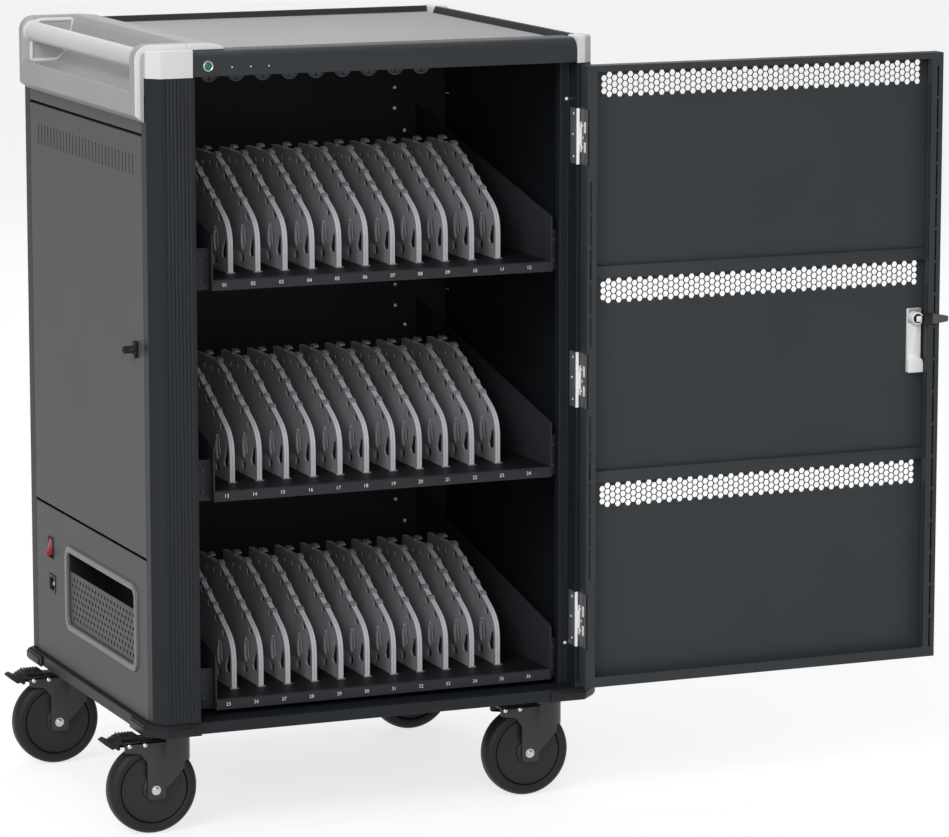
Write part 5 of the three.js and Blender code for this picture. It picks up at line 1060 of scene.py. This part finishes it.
made("lock_bracket", "front_door", light_steel, together(
    pressed("y", -12, -5.5, bracket, [disc(SPINDLE_X, SPINDLE_Z, 6.3, 20)], 0.8),
    pressed("y", -18.5, -11, hood, edge=1.5, segments=3),
    turned("y", spindle, gland, 32, closed=True)), ["lock_plate"])
mottled_pad_steel = finish("mottled_pad_steel", (150, 150, 150), 0.25, 0.5, 500, 0.2)
# A darker, mottled steel plate across the upper part of the bracket, round the gland.
pad = [(793.9, 642.5), (813.5, 641), (813.5, 662), (793.9, 662)]
made("lock_pad", "front_door", mottled_pad_steel,
     pressed("y", -12.6, -11.9, pad, [disc(SPINDLE_X, SPINDLE_Z, 9, 20)], 0.2))
arm = filleted([(SPINDLE_X - 4, SPINDLE_Z - 4, 1), (812, SPINDLE_Z - 4, 0), (812, SPINDLE_Z + 4, 0),
                (SPINDLE_X - 4, SPINDLE_Z + 4, 1)], 3)
lever = rectangle(SPINDLE_X - 11, SPINDLE_X + 11, 565, 661, 7)
made("lock_arm", "door_lock", black_plastic, together(
    pressed("y", -28.6, ARM_REAR, arm, edge=0.5),
    block(809, TONGUE_LEFT + 0.4, TONGUE_FRONT, ARM_REAR, TONGUE_FOOT, TONGUE_TOP, 0.6),
    turned("y", spindle, [(0, -28), (5.5, -28), (5.5, -1), (0, -1)], 24),
    pressed("y", -2.5, 6.5, lever, edge=2.5, segments=3)), ["lock_cam"])
tongue_steel = finish("tongue_steel", (92, 92, 93), 0.06, 0.45, 800, 0.08)
blade = filleted([(TONGUE_LEFT, TONGUE_FOOT, 0.8), (834, 643, 0), (846, 644.6, 2), (846, 652.4, 2),
                  (834, 654.6, 0), (TONGUE_LEFT, TONGUE_TOP, 0.8)], 4)
made("lock_tongue", "door_lock", tongue_steel,
     pressed("y", TONGUE_FRONT, -29, blade, edge=0.6), ["lock_cam"])
nut = rectangle(SPINDLE_X - NUT_HALF, SPINDLE_X + NUT_HALF, SPINDLE_Z - NUT_HALF, SPINDLE_Z + NUT_HALF)
stud = [(0, -31.6), (1.6, -31.6), (2, -31.2), (2, -30.4), (0, -30.4)]
made("lock_nut", "door_lock", light_steel, together(
    pressed("y", -30.6, -28.5, nut, edge=0.5), turned("y", spindle, stud, 14)))

# Casters
# Four swivel casters: a pressed steel fork under a crown that turns on its kingpin, and a rubber
# tyre on a dished hub between the legs, held by a bright axle bolt.
CASTER_X = 273.3
CASTER_FRONT = 67
CASTER_REAR = 495
CORNERS = {
    "front_left": (-CASTER_X, CASTER_FRONT),
    "front_right": (CASTER_X, CASTER_FRONT),
    "rear_left": (-CASTER_X, CASTER_REAR),
    "rear_right": (CASTER_X, CASTER_REAR),
}
TRAIL = 30.5
WHEEL_RADIUS = 62.5
CROWN = 131
LEG_INSIDE = 17
LEG_OUTSIDE = 21
LEG_FRONT = -16.5
CROWN_REAR = -73.5
NOSE_START = -15.5
NOSE_REACH = 40
NOSE_SHEET = 4
NOSE_SLOPE = Vector((0.915, 0, -1)).normalized()
TYRE_SIDE = ((46.8, 11), (48, 14), (50.5, 15), (55.5, 14.7), (58.5, 13.2), (60.8, 10.4), (62.1, 6.6),
             (WHEEL_RADIUS, 2.5))
HUB_SIDE = ((6.5, 16.4), (15, 16.4), (16.5, 15.6), (17.5, 12.6), (20, 12), (43.5, 12.4), (45.6, 13),
            (46.8, 11))
BOSS = ((0, CROWN), (26, CROWN), (26, 134), (23.5, 136), (23.5, 148), (22, 152.5), (0, 152.5))
AXLE = ((0, -20), (6, -20), (6, 20), (0, 20))
WASHER = ((0, -22.2), (6.4, -22.2), (6.4, -LEG_OUTSIDE), (0, -LEG_OUTSIDE))
AXLE_END = ((0, -26), (2.6, -26), (3, -25.4), (3, -23.8), (0, -23.8))
RIVET = ((0, -22.8), (1.8, -22.6), (3, -21.8), (3.2, -LEG_OUTSIDE), (0, -LEG_OUTSIDE))
RIVET_PLACES = (-67.4, -45.4)
RIVET_HEIGHT = 126
tyre_rubber = finish("tyre_rubber", (36, 36, 36), 0.08, 0.5, 700, 0.2)
hub_plastic = finish("hub_plastic", (42, 42, 42), 0.06, 0.36, 1000, 0.08)
fork_paint = finish("fork_paint", (38, 38, 38), 0.05, 0.34, 900, 0.06, shine=0.5)
tyre = [(radius, -y) for radius, y in TYRE_SIDE] + [*TYRE_SIDE[::-1]]
hub = [(radius, -y) for radius, y in HUB_SIDE] + [*HUB_SIDE[::-1]]
leg = filleted([(-42, 49.5, 6), (LEG_FRONT, 49.5, 4), (LEG_FRONT, 62.5, 0), (-14.5, 64.5, 0),
                (-14.5, CROWN, 0), (CROWN_REAR, CROWN, 0), (CROWN_REAR, 117, 3), (-52, 114, 6),
                (-42, 101, 6)])
nose_angles = [math.radians(d) for d in range(-90, 91, 9)]
nose_line = [(NOSE_START + NOSE_REACH * math.cos(a), LEG_OUTSIDE * math.sin(a)) for a in nose_angles]
nose_line += [(NOSE_START + (NOSE_REACH - NOSE_SHEET) * math.cos(a), LEG_INSIDE * math.sin(a))
              for a in nose_angles[::-1]]
for corner, (x, y) in CORNERS.items():
    put = Matrix.Translation((x, y, 0))
    nose = pressed("z", 60, CROWN, nose_line)
    bmesh.ops.bisect_plane(nose, geom=nose.verts[:] + nose.edges[:] + nose.faces[:],
                           plane_co=(LEG_FRONT, 0, 62.5), plane_no=NOSE_SLOPE, clear_outer=True)
    bmesh.ops.holes_fill(nose, edges=[e for e in nose.edges if len(e.link_faces) == 1], sides=0)
    fork = together(
        pressed("y", -LEG_OUTSIDE, -LEG_INSIDE, leg, edge=0.9),
        pressed("y", LEG_INSIDE, LEG_OUTSIDE, leg, edge=0.9),
        nose,
        block(CROWN_REAR, 4, -LEG_OUTSIDE, LEG_OUTSIDE, CROWN - 4, CROWN, 0.8),
        turned("z", (0, 0, 0), BOSS, 28),
        turned("y", (-TRAIL, 0, WHEEL_RADIUS), AXLE, 18))
    fork.transform(put)
    made(f"caster_fork_{corner}", f"caster_{corner}", fork_paint, fork, [f"fork_{corner}"])
    fixings = []
    for turn in (0, math.pi):
        outward = Matrix.Rotation(turn, 4, "Z")
        washer = turned("y", (0, 0, 0), WASHER, 24)
        head = pressed("y", -24, -22.2, disc(0, 0, 5.2, 6), edge=0.7)
        axle_end = turned("y", (0, 0, 0), AXLE_END, 16)
        for shape in (washer, head, axle_end):
            shape.transform(Matrix.Translation((-TRAIL, 0, WHEEL_RADIUS)) @ outward)
            fixings.append(shape)
        for u in RIVET_PLACES:
            rivet = turned("y", (0, 0, 0), RIVET, 16)
            rivet.transform(Matrix.Translation((u, 0, RIVET_HEIGHT)) @ outward)
            fixings.append(rivet)
    bolts = together(*fixings)
    bolts.transform(put)
    made(f"caster_bolts_{corner}", f"caster_{corner}", bright_steel, bolts)
    centre = (x - TRAIL, y, WHEEL_RADIUS)
    made(f"caster_tyre_{corner}", f"roller_{corner}", tyre_rubber,
         turned("y", centre, tyre, 64, closed=True), [f"wheel_{corner}"])
    made(f"caster_hub_{corner}", f"roller_{corner}", hub_plastic,
         turned("y", centre, hub, 64, closed=True), [f"wheel_{corner}"])

# Brake pedals
# Black moulded treads on the two left casters, ridged across for the shoe, that rock behind the
# fork's crown.
PEDAL_SIDE = ((-52, 138.5), (-78, 137), (-88, 131.5), (-95.4, 135.2), (-101, 132.4), (-99.4, 129.4),
              (-88.8, 121.6), (-84.8, 123), (-80.4, 119.6), (-77.6, 121), (-77.6, 134.4), (-52, 134.4))
PEDAL_HALF_WIDTH = 14
RIDGE_COUNT = 5
RIDGE_FIRST = -59
RIDGE_PITCH = 4.4
RIDGE_HALF_WIDTH = 12
RIDGE_TOP = 139.6
ridges = [(RIDGE_FIRST - step * RIDGE_PITCH, RIDGE_TOP, 3.6) for step in range(RIDGE_COUNT)]
ridges += [(-81.4, 136.6, 3), (-85.2, 134.6, 3)]
for corner in ("front_left", "rear_left"):
    tread = [pressed("y", -PEDAL_HALF_WIDTH, PEDAL_HALF_WIDTH, PEDAL_SIDE, edge=0.7)]
    for u, z, height in ridges:
        tread.append(block(u - 1.1, u + 1.1, -RIDGE_HALF_WIDTH, RIDGE_HALF_WIDTH, z - height, z, 0.6))
    pedal = together(*tread)
    pedal.transform(Matrix.Translation((*CORNERS[corner], 0)))
    made(f"brake_tread_{corner}", f"brake_{corner}", black_plastic, pedal,
         [f"pedal_{corner}"])

# Studio
# A pale floor that keeps a soft shadow, a surround that is white to the camera and dimmer as
# light, and broad soft lamps, the strongest high at the front left.
floor_mesh = bpy.data.meshes.new("floor")
floor_shape = bmesh.new()
bmesh.ops.create_grid(floor_shape, x_segments=1, y_segments=1, size=40)
floor_shape.to_mesh(floor_mesh)
floor_shape.free()
floor = bpy.data.objects.new("floor", floor_mesh)
bpy.context.scene.collection.objects.link(floor)
floor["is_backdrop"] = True
floor_paint = bpy.data.materials.new("floor_paint")
floor_paint.use_nodes = True
tree = floor_paint.node_tree
tree.nodes.clear()
seen = tree.nodes.new("ShaderNodeLightPath")
either = tree.nodes.new("ShaderNodeMath")
either.operation = "MAXIMUM"
tree.links.new(seen.outputs["Is Camera Ray"], either.inputs[0])
tree.links.new(seen.outputs["Is Glossy Ray"], either.inputs[1])
mirrored = tree.nodes.new("ShaderNodeMath")
mirrored.operation = "MAXIMUM"
tree.links.new(either.outputs[0], mirrored.inputs[0])
tree.links.new(seen.outputs["Is Transmission Ray"], mirrored.inputs[1])
matt = tree.nodes.new("ShaderNodeBsdfDiffuse")
matt.inputs["Color"].default_value = (0.4, 0.4, 0.4, 1)
glow = tree.nodes.new("ShaderNodeEmission")
glow.inputs["Strength"].default_value = 0.74
lit = tree.nodes.new("ShaderNodeAddShader")
tree.links.new(matt.outputs[0], lit.inputs[0])
tree.links.new(glow.outputs[0], lit.inputs[1])
pick = tree.nodes.new("ShaderNodeMixShader")
tree.links.new(mirrored.outputs[0], pick.inputs[0])
tree.links.new(matt.outputs[0], pick.inputs[1])
tree.links.new(lit.outputs[0], pick.inputs[2])
out = tree.nodes.new("ShaderNodeOutputMaterial")
tree.links.new(pick.outputs[0], out.inputs["Surface"])
floor_mesh.materials.append(floor_paint)

world = bpy.data.worlds.new("studio")
bpy.context.scene.world = world
world.use_nodes = True
sky = world.node_tree
surround = sky.nodes["Background"]
surround.inputs["Color"].default_value = (1, 1, 1, 1)
path = sky.nodes.new("ShaderNodeLightPath")
strength = sky.nodes.new("ShaderNodeMapRange")
strength.inputs["To Min"].default_value = 0.36
strength.inputs["To Max"].default_value = 1.0
sky.links.new(path.outputs["Is Camera Ray"], strength.inputs["Value"])
sky.links.new(strength.outputs["Result"], surround.inputs["Strength"])


def lamp(name, place, aim, size, watts):
    """A square soft lamp at a place in metres, turned to its aim."""
    light = bpy.data.lights.new(name, "AREA")
    light.shape = "SQUARE"
    light.size = size
    light.energy = watts
    holder = bpy.data.objects.new(name, light)
    holder.location = place
    holder.rotation_euler = (Vector(aim) - Vector(place)).to_track_quat("-Z", "Y").to_euler()
    bpy.context.scene.collection.objects.link(holder)


lamp("key", (-4.2, -3.6, 4.2), (0, 0, 0.6), 3.0, 170)
lamp("front", (-2.0, -5.4, 2.0), (0.1, 0, 0.5), 3.0, 95)
lamp("top", (-0.2, 0.6, 5.0), (-0.2, 0, 1), 3.0, 40)
lamp("back", (1.6, 5.0, 3.4), (0, 0, 0.6), 3.0, 32)

# Camera
# A long lens to the left of the cart and a little above it, as a catalogue view is taken, with
# its place in the cabinet's millimetres and its turns in degrees.
CAMERA_PLACE = (-2269.7, -5790.3, 1618.5)
CAMERA_TILT = 80.31
CAMERA_TURN = -22.6
view = bpy.data.cameras.new("view")
view.lens = 178.3
view.sensor_width = 36
view.clip_end = 200
camera = bpy.data.objects.new("view", view)
camera.location = to_frame @ Vector(CAMERA_PLACE)
camera.rotation_euler = (math.radians(CAMERA_TILT), 0, math.radians(CAMERA_TURN))
bpy.context.scene.collection.objects.link(camera)
bpy.context.scene.camera = camera
bpy.context.scene.view_settings.view_transform = "Standard"

# The box round every piece that is shown, the floor left out.
low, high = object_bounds()
